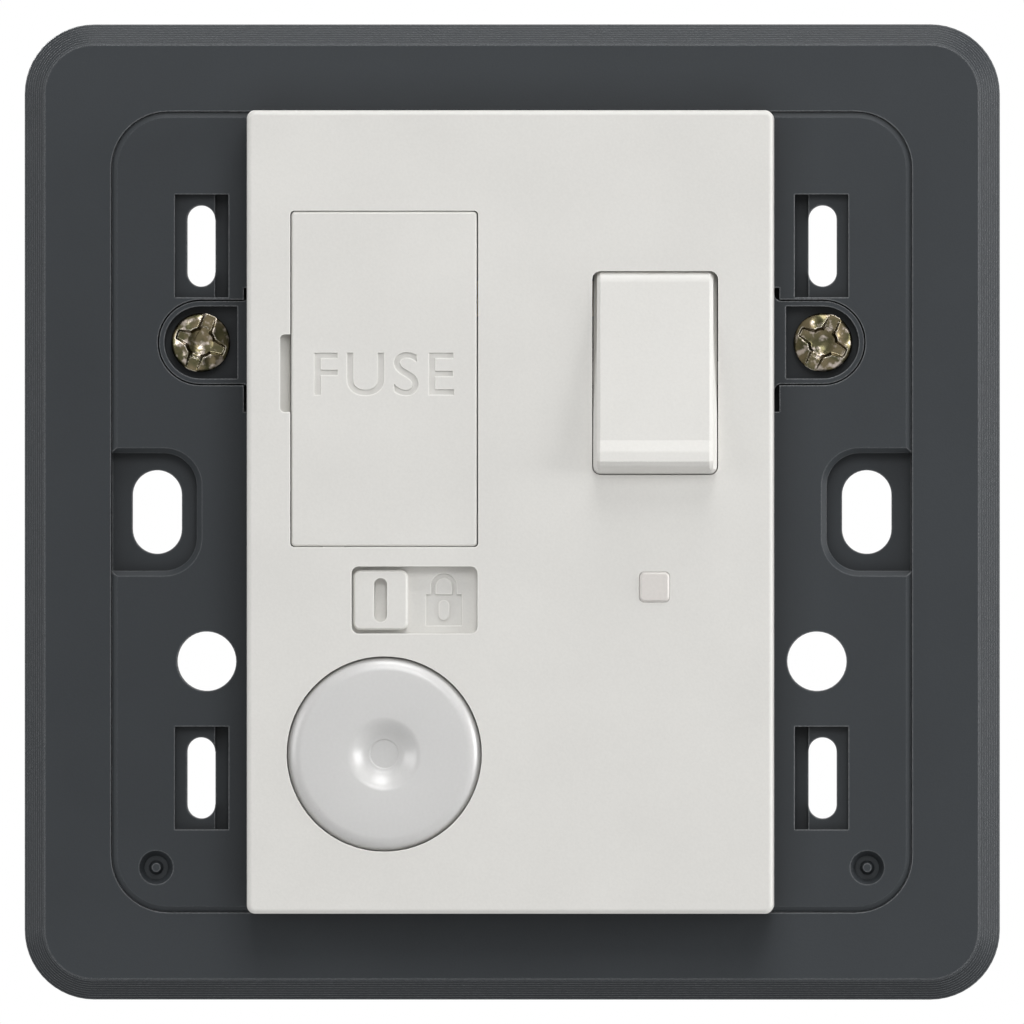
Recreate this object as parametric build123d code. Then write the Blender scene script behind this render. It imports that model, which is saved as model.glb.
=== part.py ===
"""Fused spur unit: wall frame, support plate and a switched, fused module with a flex outlet.

Everything is drawn lying on its back in millimetres: x to the right, y up the wall, z out of the
wall, with z = 0 on the wall. The pieces are stood upright as they are exported.
"""

from build123d import *
import os

# Wall frame
frame_side = 82.9
frame_corner = 5.9
frame_thickness = 4.2
edge_run = 1.8
edge_lip = 1.4
ledge_thickness = 1.2
ledge_width = 1.6
seam = 0.12
rim_width = 2.0
core_depth = 2.2
core_rib = 2.0

# Support plate
plate_side = 67.8
plate_corner = 4.7
plate_thickness = 3.0
plate_edge = 0.4
box_slot_spacing = 60.3
box_slot_width = 4.2
box_slot_length = 7.1
box_recess_height = 10.0
box_recess_depth = 1.5
box_recess_reach = 3.4
box_recess_corner = 2.8
box_recess_edge = 0.45
clip_slot_spacing_x = 52.8
clip_slot_spacing_y = 45.2
clip_slot_width = 2.4
clip_slot_length = 6.9
clip_pocket_height = 8.75
clip_pocket_depth = 0.8
clip_pocket_margin = 1.0
clip_step_width = 1.15
clip_step_depth = 1.7
peg_hole_spacing = 51.84
peg_hole_radius = 2.525
peg_hole_y = -12.68
dimple_place = 30.2
dimple_radius = 1.45
dimple_depth = 0.7
pip_radius = 0.6
pip_height = 0.5

# Front cover of the module
module_width = 44.6
module_height = 68.05
module_projection = 8.5
skin = 1.8
cover_wall = 1.6
cover_corner = 0.7
cover_edge = 0.45

# Rear housing
fit_gap = 0.2
base_inset = 3.04
base_depth = 20.0
base_wall = 1.4
base_corner = 1.0
bay_floor = -3.0
cell_depth = 7.0
switch_bay_left = 5.0

# Ears and their screws
ear_reach = 4.13
ear_y = 14.4
ear_radius = 3.52
ear_rim = 0.45
ear_thickness = 2.1
ear_pocket_depth = 1.2
ear_pocket_inset = 1.0
ear_gap = 0.12
ear_root_low = 10.2
ear_root_high = 18.6
ear_root_round = 0.6
relief_low = 8.5
relief_width = 0.45
screw_shank_radius = 1.45
screw_head_radius = 2.5
screw_head_height = 1.6
screw_length = 7.4
screw_gap = 0.05
screw_boss_radius = 3.2
screw_boss_length = 6.0

# Fuse and its carrier
carrier_x = -10.65
carrier_y = 11.27
carrier_width = 15.64
carrier_height = 28.2
carrier_corner = 0.35
carrier_edge = 0.15
carrier_gap = 0.14
carrier_wall = 1.05
carrier_depth = 11.7
carrier_side_inset = 1.1
notch_width = 1.0
notch_height = 6.58
notch_y = 11.75
notch_depth = 1.4
notch_corner = 0.4
fuse_end_gap = 0.21
fuse_radius = 3.17
fuse_barrel_radius = 2.9
fuse_cap_length = 6.0
fuse_cap_wall = 0.5
fuse_gap = 0.08
fuse_behind_skin = 0.7
claw_wall = 1.0
claw_length = 4.0
claw_end_gap = 1.2
claw_mouth = 5.0
clip_width = 4.4
clip_thickness = 0.5
clip_overlap = 1.4
clip_flare = 0.8
clip_flare_height = 1.0

# Lock slider
lock_x = -8.08
lock_y = -7.46
lock_width = 10.67
lock_height = 5.67
lock_corner = 0.6
lock_skin = 0.9
tongue_thickness = 1.3
slide_gap = 0.1
button_width = 4.6
button_height = 5.05
button_sink = 0.25
button_side_gap = 0.15
button_slot_width = 1.1
button_slot_length = 3.7
button_slot_depth = 0.8
slider_margin = 0.6
tongue_x = -15.0
tongue_width = 1.8
tongue_tip_gap = 0.15
keyway_gap = 0.3

# Flex outlet
outlet_x = -10.65
outlet_y = -20.5
outlet_radius = 8.2
outlet_gap = 0.07
outlet_proud = 0.3
outlet_round = 1.2
outlet_flange = 1.1
outlet_hollow_radius = 6.4
outlet_skin = 1.5
crater_radius = 3.6
crater_floor_radius = 1.25
crater_depth = 1.0
passage_radius = 6.4

# Rocker
rocker_x = 12.3
rocker_y = 11.77
rocker_opening_width = 10.66
rocker_opening_height = 17.25
rocker_opening_corner = 0.7
rocker_width = 9.86
rocker_gap = 0.09
rocker_proud = 1.0
rocker_pivot_depth = 2.1
rocker_skirt = 1.8
rocker_wall = 1.4
rocker_round = 1.1
rocker_edge = 0.3
flank_low = 1.7
flank_high = 2.3
ridge_height = 0.25
ridge_length = 1.15
ridge_slope = 1.0
ridge_edge = 0.3
ridge_round = 0.8
ridge_tip = 8.2
ridge_foot_drop = 0.35
rocker_tilt = 6.0
trunnion_radius = 1.0
trunnion_length = 1.5
bearing_gap = 0.05
lug_height = 4.2
lug_width = 1.15
lug_wall = 1.0

# Poles of the switch
pole_spacing = 5.2
tube_radius = 1.6
tube_length = 5.0
plunger_radius = 0.95
plunger_length = 6.6
plunger_reach = 9.0
spring_wire = 0.34
spring_turns = 4.0
spring_gap = 0.1
arm_width = 3.2
arm_thickness = 1.0
arm_upper = 7.6
arm_lower = 6.4
arm_offset = 0.28
arm_gap = 0.15
arm_tilt = 6.0
knuckle_radius = 0.9
cradle_length = 3.0
tip_radius = 1.1
tip_height = 0.6
tip_inset = 1.2
tip_gap = 0.06

# Strips and terminals
strip_width = 3.0
strip_thickness = 0.8
strip_gap = 0.1
tail_length = 12.0
feed_run_x = -4.4
feed_run_width = 2.4
terminal_width = 6.4
terminal_length = 6.6
terminal_height = 8.7
terminal_inset = 7.0
terminal_gap = 0.1
earth_width = 11.0
wire_hole = 3.8
wire_hole_offset = 1.2
supply_line_x = 8.9
supply_neutral_x = 16.1
earth_x = 1.2
earth_screw_spacing = 5.6
terminal_screw_radius = 1.7
terminal_head_radius = 2.6
terminal_head_height = 1.8

# Lamp
lens_x = 12.25
lens_y = -6.36
lens_size = 2.42
lens_corner = 0.4
lens_gap = 0.08
lens_dome = 0.15
lens_flange = 0.8
lens_flange_thickness = 0.8
lamp_radius = 1.9
lamp_length = 9.0
lamp_pin_radius = 0.8
lamp_below_skin = 6.3
lamp_gap = 0.3
resistor_y = -14.0
resistor_level = 1.5
resistor_radius = 1.1
resistor_length = 6.5
resistor_lead_radius = 0.4
post_length = 2.3
post_height = 3.2

# Housing screws and flex clamp
boss_x = 1.2
boss_upper_y = 8.0
boss_lower_y = -14.0
boss_radius = 3.0
boss_depth = 7.4
housing_screw_radius = 1.4
housing_head_radius = 2.7
housing_head_height = 2.0
housing_grip = 8.0
housing_screw_length = 14.0
clamp_y = -8.2
clamp_length = 15.6
clamp_width = 5.0
clamp_thickness = 2.2
clamp_arch = 1.2
clamp_arch_length = 7.6
clamp_screw_spacing = 11.6
clamp_screw_radius = 1.4
clamp_head_radius = 2.4
clamp_head_height = 1.7
clamp_screw_length = 9.0
driver_slot_width = 0.8
driver_slot_depth = 0.8

# Sizes and levels worked out from the sizes above
plate_back = ledge_thickness
plate_front = plate_back + plate_thickness
module_front = plate_front + module_projection
skin_back = module_front - skin
base_front = skin_back - tongue_thickness - 2 * slide_gap
base_back = -base_depth
base_width = module_width - 2 * (cover_wall + fit_gap)
base_height = module_height - 2 * (cover_wall + base_inset)
bay_right = base_width / 2 - base_wall
ear_spacing = module_width + 2 * ear_reach
ear_top = plate_front - slide_gap
ear_bottom = ear_top - ear_thickness
ear_floor = ear_top - ear_pocket_depth
fuse_length = carrier_height - 2 * (carrier_gap + carrier_wall + fuse_end_gap)
claw_spacing = fuse_length - 2 * (fuse_cap_length + claw_end_gap) - claw_length
fuse_axis = skin_back - fuse_behind_skin - fuse_radius
pivot_level = module_front - rocker_pivot_depth
face_height = rocker_pivot_depth + rocker_proud
well_radius = ((rocker_opening_height / 2) ** 2 + rocker_pivot_depth ** 2) ** 0.5
drum_radius = well_radius - rocker_gap
arm_level = pivot_level - plunger_reach - arm_gap - arm_thickness - arm_offset
strip_top = bay_floor + strip_thickness
tail_face = base_height / 2 - terminal_inset
terminal_front = base_back + terminal_height + terminal_head_height
pole_left = rocker_x - pole_spacing / 2
pole_right = rocker_x + pole_spacing / 2
lock_travel = lock_width - button_width - 2 * button_side_gap
slider_left = lock_x - lock_width / 2 - lock_travel - slider_margin
slider_right = lock_x + lock_width / 2 + slider_margin
slider_height = lock_height + slider_margin
slider_top = module_front - lock_skin - slide_gap
lamp_level = skin_back - lamp_below_skin


def block(x_low, x_high, y_low, y_high, z_low, z_high):
    """A plain block between two corners."""
    middle = Pos((x_low + x_high) / 2, (y_low + y_high) / 2, (z_low + z_high) / 2)
    return middle * Box(x_high - x_low, y_high - y_low, z_high - z_low)


def slab(width, height, low, high, corner=0.0, at=(0, 0)):
    """A plate between two levels, with its upright edges rounded."""
    outline = RectangleRounded(width, height, corner) if corner > 0 else Rectangle(width, height)
    return extrude(Pos(at[0], at[1], low) * outline, high - low)


def post(radius, low, high, at=(0, 0)):
    """A round post between two levels."""
    return extrude(Pos(at[0], at[1], low) * Circle(radius), high - low)


def upright_slot(width, length, low, high, at):
    """A slot with round ends that runs up the wall."""
    return extrude(Pos(at[0], at[1], low) * Rot(0, 0, 90) * SlotOverall(length, width), high - low)


def bar_x(radius, x_low, x_high, y, z):
    """A round bar along x."""
    return extrude(Plane((x_low, y, z), x_dir=(0, 1, 0), z_dir=(1, 0, 0)) * Circle(radius), x_high - x_low)


def front_edges(shape):
    """The outer edges of a shape's foremost face."""
    return shape.faces().sort_by(Axis.Z)[-1].outer_wire().edges()


def turned(points):
    """A round solid from its half outline of radius and level."""
    return revolve(Plane.XZ * make_face(Polyline(*points, close=True)), Axis.Z)


def slotted_head(radius, low, high, at):
    """A round screw head with a driver slot in its back."""
    slot = block(at[0] - 2 * radius, at[0] + 2 * radius, at[1] - driver_slot_width / 2,
                 at[1] + driver_slot_width / 2, low - 1, low + driver_slot_depth)
    return post(radius, low, high, at) - slot


def outer_frame():
    """Square frame with a sloping edge, a ledge for the support plate and a cored back."""
    low = Pos(0, 0, edge_lip) * RectangleRounded(frame_side, frame_side, frame_corner)
    top_side = frame_side - 2 * edge_run
    top_corner = max(frame_corner - edge_run, 0.5)
    high = Pos(0, 0, frame_thickness) * RectangleRounded(top_side, top_side, top_corner)
    body = slab(frame_side, frame_side, 0, edge_lip, frame_corner) + loft([low, high], ruled=True)
    opening = plate_side + 2 * seam
    body -= slab(opening, opening, ledge_thickness, frame_thickness + 1, plate_corner + seam)
    window = opening - 2 * ledge_width
    window_corner = max(plate_corner + seam - ledge_width, 0.5)
    body -= slab(window, window, -1, ledge_thickness + 1, window_corner)
    core_out = frame_side / 2 - rim_width
    core_in = opening / 2 + rim_width / 2
    run = (opening - 2 * core_rib) / 3
    for turn in range(4):
        for step in (-1, 0, 1):
            middle = step * (run + core_rib)
            pocket = block(core_in, core_out, middle - run / 2, middle + run / 2, -1, core_depth)
            body -= Rot(0, 0, 90 * turn) * pocket
    return body


def ear_outline(side, grow):
    """An ear seen from the front, grown by a gap."""
    place = side * ear_spacing / 2
    radius = ear_radius + grow
    root = side * module_width / 2
    neck = Pos((place + root) / 2, ear_y) * Rectangle(abs(place - root), 2 * radius)
    return Pos(place, ear_y) * Circle(radius) + neck


def support_plate():
    """Inner plate with the openings for the module, the box screws and a clip-on surround."""
    body = slab(plate_side, plate_side, plate_back, plate_front, plate_corner)
    body = chamfer(front_edges(body), plate_edge)
    cut_top = plate_front + 1
    for side in (-1, 1):
        boss_at = (side * ear_spacing / 2, ear_y)
        body += post(screw_boss_radius, plate_back - screw_boss_length, plate_back, boss_at)
    body -= slab(base_width + 2 * fit_gap, base_height + 2 * fit_gap, -base_depth, cut_top, base_corner)
    recess_floor = plate_front - box_recess_depth
    for side in (-1, 1):
        slot_x = side * box_slot_spacing / 2
        inner = slot_x - side * box_recess_reach
        outer = side * (plate_side / 2 + box_recess_corner + 1)
        width = abs(outer - inner)
        at = ((inner + outer) / 2, 0)
        recess = slab(width, box_recess_height, recess_floor, cut_top, box_recess_corner, at)
        rim_low = Pos(at[0], 0, plate_front - box_recess_edge)
        rim_high = Pos(at[0], 0, plate_front + box_recess_edge)
        spread = 4 * box_recess_edge
        narrow = RectangleRounded(width, box_recess_height, box_recess_corner)
        wide_corner = box_recess_corner + spread / 2
        wide = RectangleRounded(width + spread, box_recess_height + spread, wide_corner)
        rim = loft([rim_low * narrow, rim_high * wide], ruled=True)
        body -= recess + rim
        body -= upright_slot(box_slot_width, box_slot_length, -1, cut_top, (slot_x, 0))
    pocket_floor = plate_front - clip_pocket_depth
    step_floor = plate_front - clip_step_depth
    for side in (-1, 1):
        slot_x = side * clip_slot_spacing_x / 2
        far = slot_x + side * (clip_slot_width / 2 + clip_pocket_margin)
        near = slot_x - side * clip_slot_width / 2
        inner = near - side * clip_step_width
        for up in (-1, 1):
            slot_y = up * clip_slot_spacing_y / 2
            low = slot_y - clip_pocket_height / 2
            high = slot_y + clip_pocket_height / 2
            body -= block(min(far, inner), max(far, inner), low, high, pocket_floor, cut_top)
            body -= block(min(near, inner), max(near, inner), low, high, step_floor, cut_top)
            body -= upright_slot(clip_slot_width, clip_slot_length, -1, cut_top, (slot_x, slot_y))
        body -= post(peg_hole_radius, -1, cut_top, (side * peg_hole_spacing / 2, peg_hole_y))
        dimple_floor = plate_front - dimple_depth
        pip_top = dimple_floor + pip_height
        dimple = turned([(0, pip_top), (0.6 * pip_radius, pip_top), (pip_radius, dimple_floor),
                         (0.7 * dimple_radius, dimple_floor), (dimple_radius, plate_front),
                         (dimple_radius, cut_top), (0, cut_top)])
        body -= Pos(side * dimple_place, -dimple_place, 0) * dimple
        notch = extrude(Pos(0, 0, ear_bottom) * ear_outline(side, ear_gap), cut_top - ear_bottom)
        edge = side * (module_width / 2 + relief_width)
        inside = side * (base_width / 2 - 1)
        relief = block(min(edge, inside), max(edge, inside), relief_low, ear_root_high + relief_width,
                       ear_bottom, cut_top)
        body -= notch + relief
        hole_at = (side * ear_spacing / 2, ear_y)
        body -= post(screw_shank_radius + screw_gap, plate_back - screw_boss_length - 1, cut_top, hole_at)
    return body


def module_screws():
    """Two pan-head screws through the ears into the support plate."""
    screws = Part()
    for side in (-1, 1):
        crown = 0.45 * screw_head_height
        outline = [(0, ear_floor - screw_length), (screw_shank_radius, ear_floor - screw_length),
                   (screw_shank_radius, ear_floor), (screw_head_radius, ear_floor),
                   (screw_head_radius, ear_floor + screw_head_height - crown),
                   (0.82 * screw_head_radius, ear_floor + 0.88 * screw_head_height),
                   (0.45 * screw_head_radius, ear_floor + screw_head_height),
                   (0, ear_floor + screw_head_height)]
        screws += Pos(side * ear_spacing / 2, ear_y, 0) * turned(outline)
    return screws


def front_cover():
    """White front moulding with the openings for carrier, lock, flex outlet, rocker and lens."""
    body = slab(module_width, module_height, plate_front, module_front, cover_corner)
    body = fillet(front_edges(body), min(cover_edge, 0.6 * cover_corner))
    inner_width = module_width - 2 * cover_wall
    inner_height = module_height - 2 * cover_wall
    body -= slab(inner_width, inner_height, plate_front - 1, skin_back)
    boss_end = base_front - boss_depth
    for boss_y in (boss_upper_y, boss_lower_y):
        body += post(boss_radius, boss_end, skin_back, (boss_x, boss_y))
        body -= post(housing_screw_radius + screw_gap, boss_end - 1, skin_back - 0.8, (boss_x, boss_y))
    for side in (-1, 1):
        face = rocker_x + side * rocker_opening_width / 2
        back = face + side * lug_width
        lug_low = pivot_level - trunnion_radius - lug_wall
        half = lug_height / 2
        body += block(min(face, back), max(face, back), rocker_y - half, rocker_y + half, lug_low, skin_back)
        stop = back - side * bearing_gap
        start = face - side
        hole = trunnion_radius + bearing_gap
        body -= bar_x(hole, min(start, stop), max(start, stop), rocker_y, pivot_level)
    top = module_front + 1
    opening_width = carrier_width + 2 * carrier_gap
    opening_height = carrier_height + 2 * carrier_gap
    body -= slab(opening_width, opening_height, skin_back - 1, top, carrier_corner, (carrier_x, carrier_y))
    right = carrier_x - carrier_width / 2
    left = right - notch_width
    wedge = Polyline((left, module_front + 0.1), (left, module_front - 0.3 * notch_depth),
                     (right, module_front - notch_depth), (right, module_front + 0.1), close=True)
    notch_plane = Plane((0, notch_y + notch_height / 2, 0), x_dir=(1, 0, 0), z_dir=(0, -1, 0))
    notch = extrude(notch_plane * make_face(wedge), notch_height)
    body -= notch & slab(2 * notch_width, notch_height, skin_back, top, notch_corner, (right, notch_y))
    half = slider_height / 2 + slide_gap
    body -= block(slider_left - slide_gap, slider_right + lock_travel + slide_gap, lock_y - half,
                  lock_y + half, skin_back - 1, module_front - lock_skin)
    body -= slab(lock_width, lock_height, skin_back - 1, top, lock_corner, (lock_x, lock_y))
    body -= post(outlet_radius + outlet_gap, skin_back - 1, top, (outlet_x, outlet_y))
    well = rocker_drum(well_radius, rocker_opening_width / 2, rocker_opening_corner)
    well = Pos(rocker_x, rocker_y, pivot_level) * well
    body -= well & slab(2 * rocker_opening_width, 3 * well_radius, skin_back - 1, top, 0,
                        (rocker_x, rocker_y))
    lens_opening = lens_size + 2 * lens_gap
    body -= slab(lens_opening, lens_opening, skin_back - 1, top, lens_corner, (lens_x, lens_y))
    return body


def terminal_pocket(x, up, width):
    """The pocket of one terminal, open to the back and to the edge of the housing."""
    half = width / 2 + terminal_gap
    outer = up * (base_height / 2 + 1)
    inner = up * tail_face
    return block(x - half, x + half, min(inner, outer), max(inner, outer), base_back - 1, terminal_front)


def tail_slit(x, up):
    """The slit that a strip's tail goes through on its way back to a terminal."""
    half = strip_width / 2 + strip_gap
    far = up * (tail_face + strip_gap)
    near = up * (tail_face - strip_thickness - strip_gap)
    deep = strip_top - tail_length - strip_gap
    return block(x - half, x + half, min(far, near), max(far, near), deep, strip_top)


def cored_back(x_low, x_high, y_low, y_high, columns, rows):
    """Pockets in the back of the rear housing with ribs between them."""
    width = (x_high - x_low - (columns - 1) * base_wall) / columns
    height = (y_high - y_low - (rows - 1) * base_wall) / rows
    pockets = Part()
    for column in range(columns):
        x = x_low + column * (width + base_wall)
        for row in range(rows):
            y = y_low + row * (height + base_wall)
            pockets += block(x, x + width, y, y + height, base_back - 1, base_back + cell_depth)
    return pockets


def rear_housing():
    """Dark rear moulding with the bays, the terminal pockets, the flex passage and two ears."""
    body = slab(base_width, base_height, base_back, base_front, base_corner)
    bay_width = carrier_width + 2 * carrier_gap
    bay_height = carrier_height + 2 * carrier_gap
    bay_at = (carrier_x, carrier_y)
    body -= slab(bay_width, bay_height, bay_floor, base_front + 1, 0, bay_at)
    bay_end = tail_face + strip_gap
    body -= block(switch_bay_left, bay_right, -bay_end, bay_end, bay_floor, base_front + 1)
    stop_top = skin_back - carrier_depth
    stop_half = carrier_width / 2 - carrier_side_inset
    for up in (-1, 1):
        end = carrier_y + up * (bay_height / 2 + 0.5)
        near = carrier_y + up * (carrier_height / 2 - carrier_wall)
        body += block(carrier_x - stop_half, carrier_x + stop_half, min(end, near), max(end, near),
                      bay_floor - 0.5, stop_top)
    feed_y = rocker_y + arm_upper - tip_inset
    feed_half = strip_width / 2 + strip_gap
    carrier_right = carrier_x + bay_width / 2
    body -= block(carrier_right - 0.5, switch_bay_left + 0.5, feed_y - feed_half, feed_y + feed_half,
                  bay_floor, base_front + 1)
    for level, y, radius in ((lamp_level, lens_y, lamp_pin_radius),
                             (resistor_level, resistor_y, resistor_lead_radius)):
        half = post_height / 2
        body += block(switch_bay_left - 0.5, switch_bay_left + post_length, y - half, y + half,
                      bay_floor - 0.5, level)
        body += block(bay_right - post_length, bay_right + 0.5, y - half, y + half, bay_floor - 0.5, level)
        body -= bar_x(radius + screw_gap, switch_bay_left, bay_right, y, level)
    terminals = ((supply_line_x, -1, terminal_width), (supply_neutral_x, -1, terminal_width),
                 (carrier_x, 1, terminal_width), (earth_x, 1, earth_width),
                 (pole_right, 1, terminal_width))
    for x, up, width in terminals:
        body -= terminal_pocket(x, up, width)
    for x, up in ((pole_left, -1), (pole_right, -1), (carrier_x, 1), (pole_right, 1)):
        body -= tail_slit(x, up)
    body -= post(passage_radius, base_back - 1, base_front + 1, (outlet_x, outlet_y))
    core_end = tail_face - 2 * base_wall
    core_left = -base_width / 2 + base_wall
    spine_half = boss_radius + base_wall
    body -= cored_back(core_left, boss_x - spine_half, clamp_y + clamp_width, core_end, 2, 2)
    body -= cored_back(boss_x + spine_half, bay_right, -core_end, core_end, 2, 3)
    socket_floor = base_front - boss_depth
    head_seat = socket_floor - housing_grip
    for boss_y in (boss_upper_y, boss_lower_y):
        at = (boss_x, boss_y)
        body -= post(boss_radius + fit_gap / 2, socket_floor, base_front + 1, at)
        body -= post(housing_screw_radius + fit_gap, head_seat - 1, socket_floor + 1, at)
        body -= post(housing_head_radius + fit_gap, base_back - 1, head_seat, at)
    for side in (-1, 1):
        at = (outlet_x + side * clamp_screw_spacing / 2, clamp_y)
        clamp_tip = base_back - clamp_thickness + clamp_screw_length
        body -= post(clamp_screw_radius + screw_gap, base_back - 1, clamp_tip + 0.5, at)
    for side in (-1, 1):
        root = side * module_width / 2
        inside = side * (base_width / 2 - base_wall / 2)
        root_middle = ((root + inside) / 2, (ear_root_low + ear_root_high) / 2)
        root_plate = Pos(*root_middle) * Rectangle(abs(root - inside), ear_root_high - ear_root_low)
        outline = ear_outline(side, 0) + root_plate
        necks = [corner for corner in outline.vertices()
                 if abs(corner.X - root) < 0.01 and abs(abs(corner.Y - ear_y) - ear_radius) < 0.01]
        outline = fillet(necks, ear_root_round)
        ear = extrude(Pos(0, 0, ear_bottom) * outline, ear_thickness)
        reach = ear_spacing / 2 + ear_radius - module_width / 2
        outside = Pos(root + side * (ear_pocket_inset + reach / 2), ear_y) * Rectangle(reach, 2 * ear_radius)
        pocket = ear_outline(side, -ear_rim) & outside
        ear -= extrude(Pos(0, 0, ear_floor) * pocket, ear_pocket_depth + 1)
        at = (side * ear_spacing / 2, ear_y)
        ear -= post(screw_shank_radius + 3 * screw_gap, ear_bottom - 1, ear_top + 1, at)
        body += ear
    return body


def fuse_carrier():
    """Carrier with a flush front, two end walls and claws round the fuse."""
    at = (carrier_x, carrier_y)
    body = slab(carrier_width, carrier_height, skin_back, module_front, carrier_corner, at)
    body = chamfer(front_edges(body), carrier_edge)
    half = carrier_width / 2 - carrier_side_inset
    wall_low = skin_back - carrier_depth
    for up in (-1, 1):
        outer = carrier_y + up * (carrier_height / 2 - carrier_gap)
        inner = outer - up * carrier_wall
        body += block(carrier_x - half, carrier_x + half, min(outer, inner), max(outer, inner),
                      wall_low, skin_back)
    claw_radius = fuse_barrel_radius + fuse_gap
    claw_half = claw_radius + claw_wall
    claw_low = fuse_axis - 0.75 * claw_radius
    for up in (-1, 1):
        middle = carrier_y + up * claw_spacing / 2
        claw = block(carrier_x - claw_half, carrier_x + claw_half, middle - claw_length / 2,
                     middle + claw_length / 2, claw_low, skin_back)
        hole_plane = Plane((carrier_x, middle + claw_length, fuse_axis), x_dir=(1, 0, 0), z_dir=(0, -1, 0))
        claw -= extrude(hole_plane * Circle(claw_radius), 2 * claw_length)
        claw -= block(carrier_x - claw_mouth / 2, carrier_x + claw_mouth / 2, middle - claw_length,
                      middle + claw_length, claw_low - 1, fuse_axis)
        body += claw
    tongue_half = tongue_width / 2 + keyway_gap
    wall_y = carrier_y - carrier_height / 2
    body -= block(tongue_x - tongue_half, tongue_x + tongue_half, wall_y - 1, wall_y + 2 * carrier_wall,
                  wall_low - 1, skin_back)
    body -= block(tongue_x, tongue_x + lock_travel + tongue_half, wall_y - 1, wall_y + 2 * carrier_wall,
                  base_front - keyway_gap, skin_back)
    return body


def fuse_barrel():
    """Ceramic barrel of the cartridge fuse."""
    length = fuse_length - 2 * fuse_cap_wall
    plane = Plane((carrier_x, carrier_y + length / 2, fuse_axis), x_dir=(1, 0, 0), z_dir=(0, -1, 0))
    return extrude(plane * Circle(fuse_barrel_radius), length)


def fuse_caps():
    """The two metal caps of the cartridge fuse."""
    caps = Part()
    for up in (-1, 1):
        plane = Plane((carrier_x, carrier_y + up * fuse_length / 2, fuse_axis),
                      x_dir=(1, 0, 0), z_dir=(0, -up, 0))
        cap = extrude(plane * Circle(fuse_radius), fuse_cap_length)
        caps += cap - extrude(plane.offset(fuse_cap_wall) * Circle(fuse_barrel_radius), fuse_cap_length)
    return caps


def fuse_clip(up):
    """A spring clip that stands on the bay floor and grips one cap of the fuse."""
    inner = fuse_radius + fuse_gap
    outer = inner + clip_thickness
    high = fuse_axis + clip_overlap
    y = carrier_y + up * (fuse_length / 2 - fuse_cap_length / 2)
    low_y = y - clip_width / 2
    high_y = y + clip_width / 2
    clip = block(carrier_x - outer, carrier_x + outer, low_y, high_y, bay_floor, strip_top)
    for side in (-1, 1):
        near = carrier_x + side * inner
        far = carrier_x + side * outer
        clip += block(min(near, far), max(near, far), low_y, high_y, bay_floor, high)
        spread = side * clip_flare
        top = high + clip_flare_height
        flare = Polyline((near, high), (far, high), (far + spread, top), (near + spread, top), close=True)
        plane = Plane((0, high_y, 0), x_dir=(1, 0, 0), z_dir=(0, -1, 0))
        clip += extrude(plane * make_face(flare), clip_width)
    return clip


def tail(x, up):
    """The tail of a strip, which lies against the inner face of a terminal."""
    half = strip_width / 2
    far = up * tail_face
    near = up * (tail_face - strip_thickness)
    return block(x - half, x + half, min(far, near), max(far, near), strip_top - tail_length, strip_top)


def flat_run(x_low, x_high, y_low, y_high):
    """A run of strip that lies on the bay floor."""
    return block(x_low, x_high, y_low, y_high, bay_floor, strip_top)


def fuse_outlet_clip():
    """Upper fuse clip with its tail to the load line terminal."""
    half = strip_width / 2
    clip_y = carrier_y + fuse_length / 2 - fuse_cap_length / 2
    run = flat_run(carrier_x - half, carrier_x + half, min(clip_y, tail_face - 1), max(clip_y, tail_face))
    return fuse_clip(1) + run + tail(carrier_x, 1)


def fuse_feed_strip():
    """Fixed contact strip of the line pole, which runs on to the lower fuse clip."""
    contact_y = rocker_y + arm_upper - tip_inset
    half = strip_width / 2
    run_half = feed_run_width / 2
    clip_y = carrier_y - fuse_length / 2 + fuse_cap_length / 2
    across = flat_run(feed_run_x - run_half, pole_left + half, contact_y - half, contact_y + half)
    down = flat_run(feed_run_x - run_half, feed_run_x + run_half, clip_y - half, contact_y)
    back = flat_run(carrier_x, feed_run_x, clip_y - half, clip_y + half)
    return across + down + back + fuse_clip(-1)


def neutral_contact_strip():
    """Fixed contact strip of the neutral pole with its tail to the load neutral terminal."""
    contact_y = rocker_y + arm_upper - tip_inset
    half = strip_width / 2
    run = flat_run(pole_right - half, pole_right + half, contact_y - half, tail_face)
    return run + tail(pole_right, 1)


def pivot_strip(x):
    """Supply strip that carries one see-saw arm, with its tail to a supply terminal."""
    half = strip_width / 2
    run = flat_run(x - half, x + half, -tail_face, rocker_y + cradle_length / 2)
    cradle = block(x - half, x + half, rocker_y - cradle_length / 2, rocker_y + cradle_length / 2,
                   bay_floor, arm_level)
    cradle -= bar_x(knuckle_radius + bearing_gap, x - strip_width, x + strip_width, rocker_y, arm_level)
    return run + cradle + tail(x, -1)


def at_arm(shape, x):
    """Puts a shape drawn about the arm's axis in its place with the switch off."""
    return Pos(x, rocker_y, arm_level) * Rot(arm_tilt, 0, 0) * shape


def contact_arm(x):
    """See-saw arm with the round knuckle that it turns on."""
    half = arm_width / 2
    arm = block(-half, half, -arm_lower, arm_upper, arm_offset, arm_offset + arm_thickness)
    arm += bar_x(knuckle_radius, -half, half, 0, 0)
    return at_arm(arm, x)


def moving_contact_tips():
    """Contact rivets under the upper ends of the arms."""
    tip = post(tip_radius, arm_offset - tip_height, arm_offset, (0, arm_upper - tip_inset))
    return Part() + at_arm(tip, pole_left) + at_arm(tip, pole_right)


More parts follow.
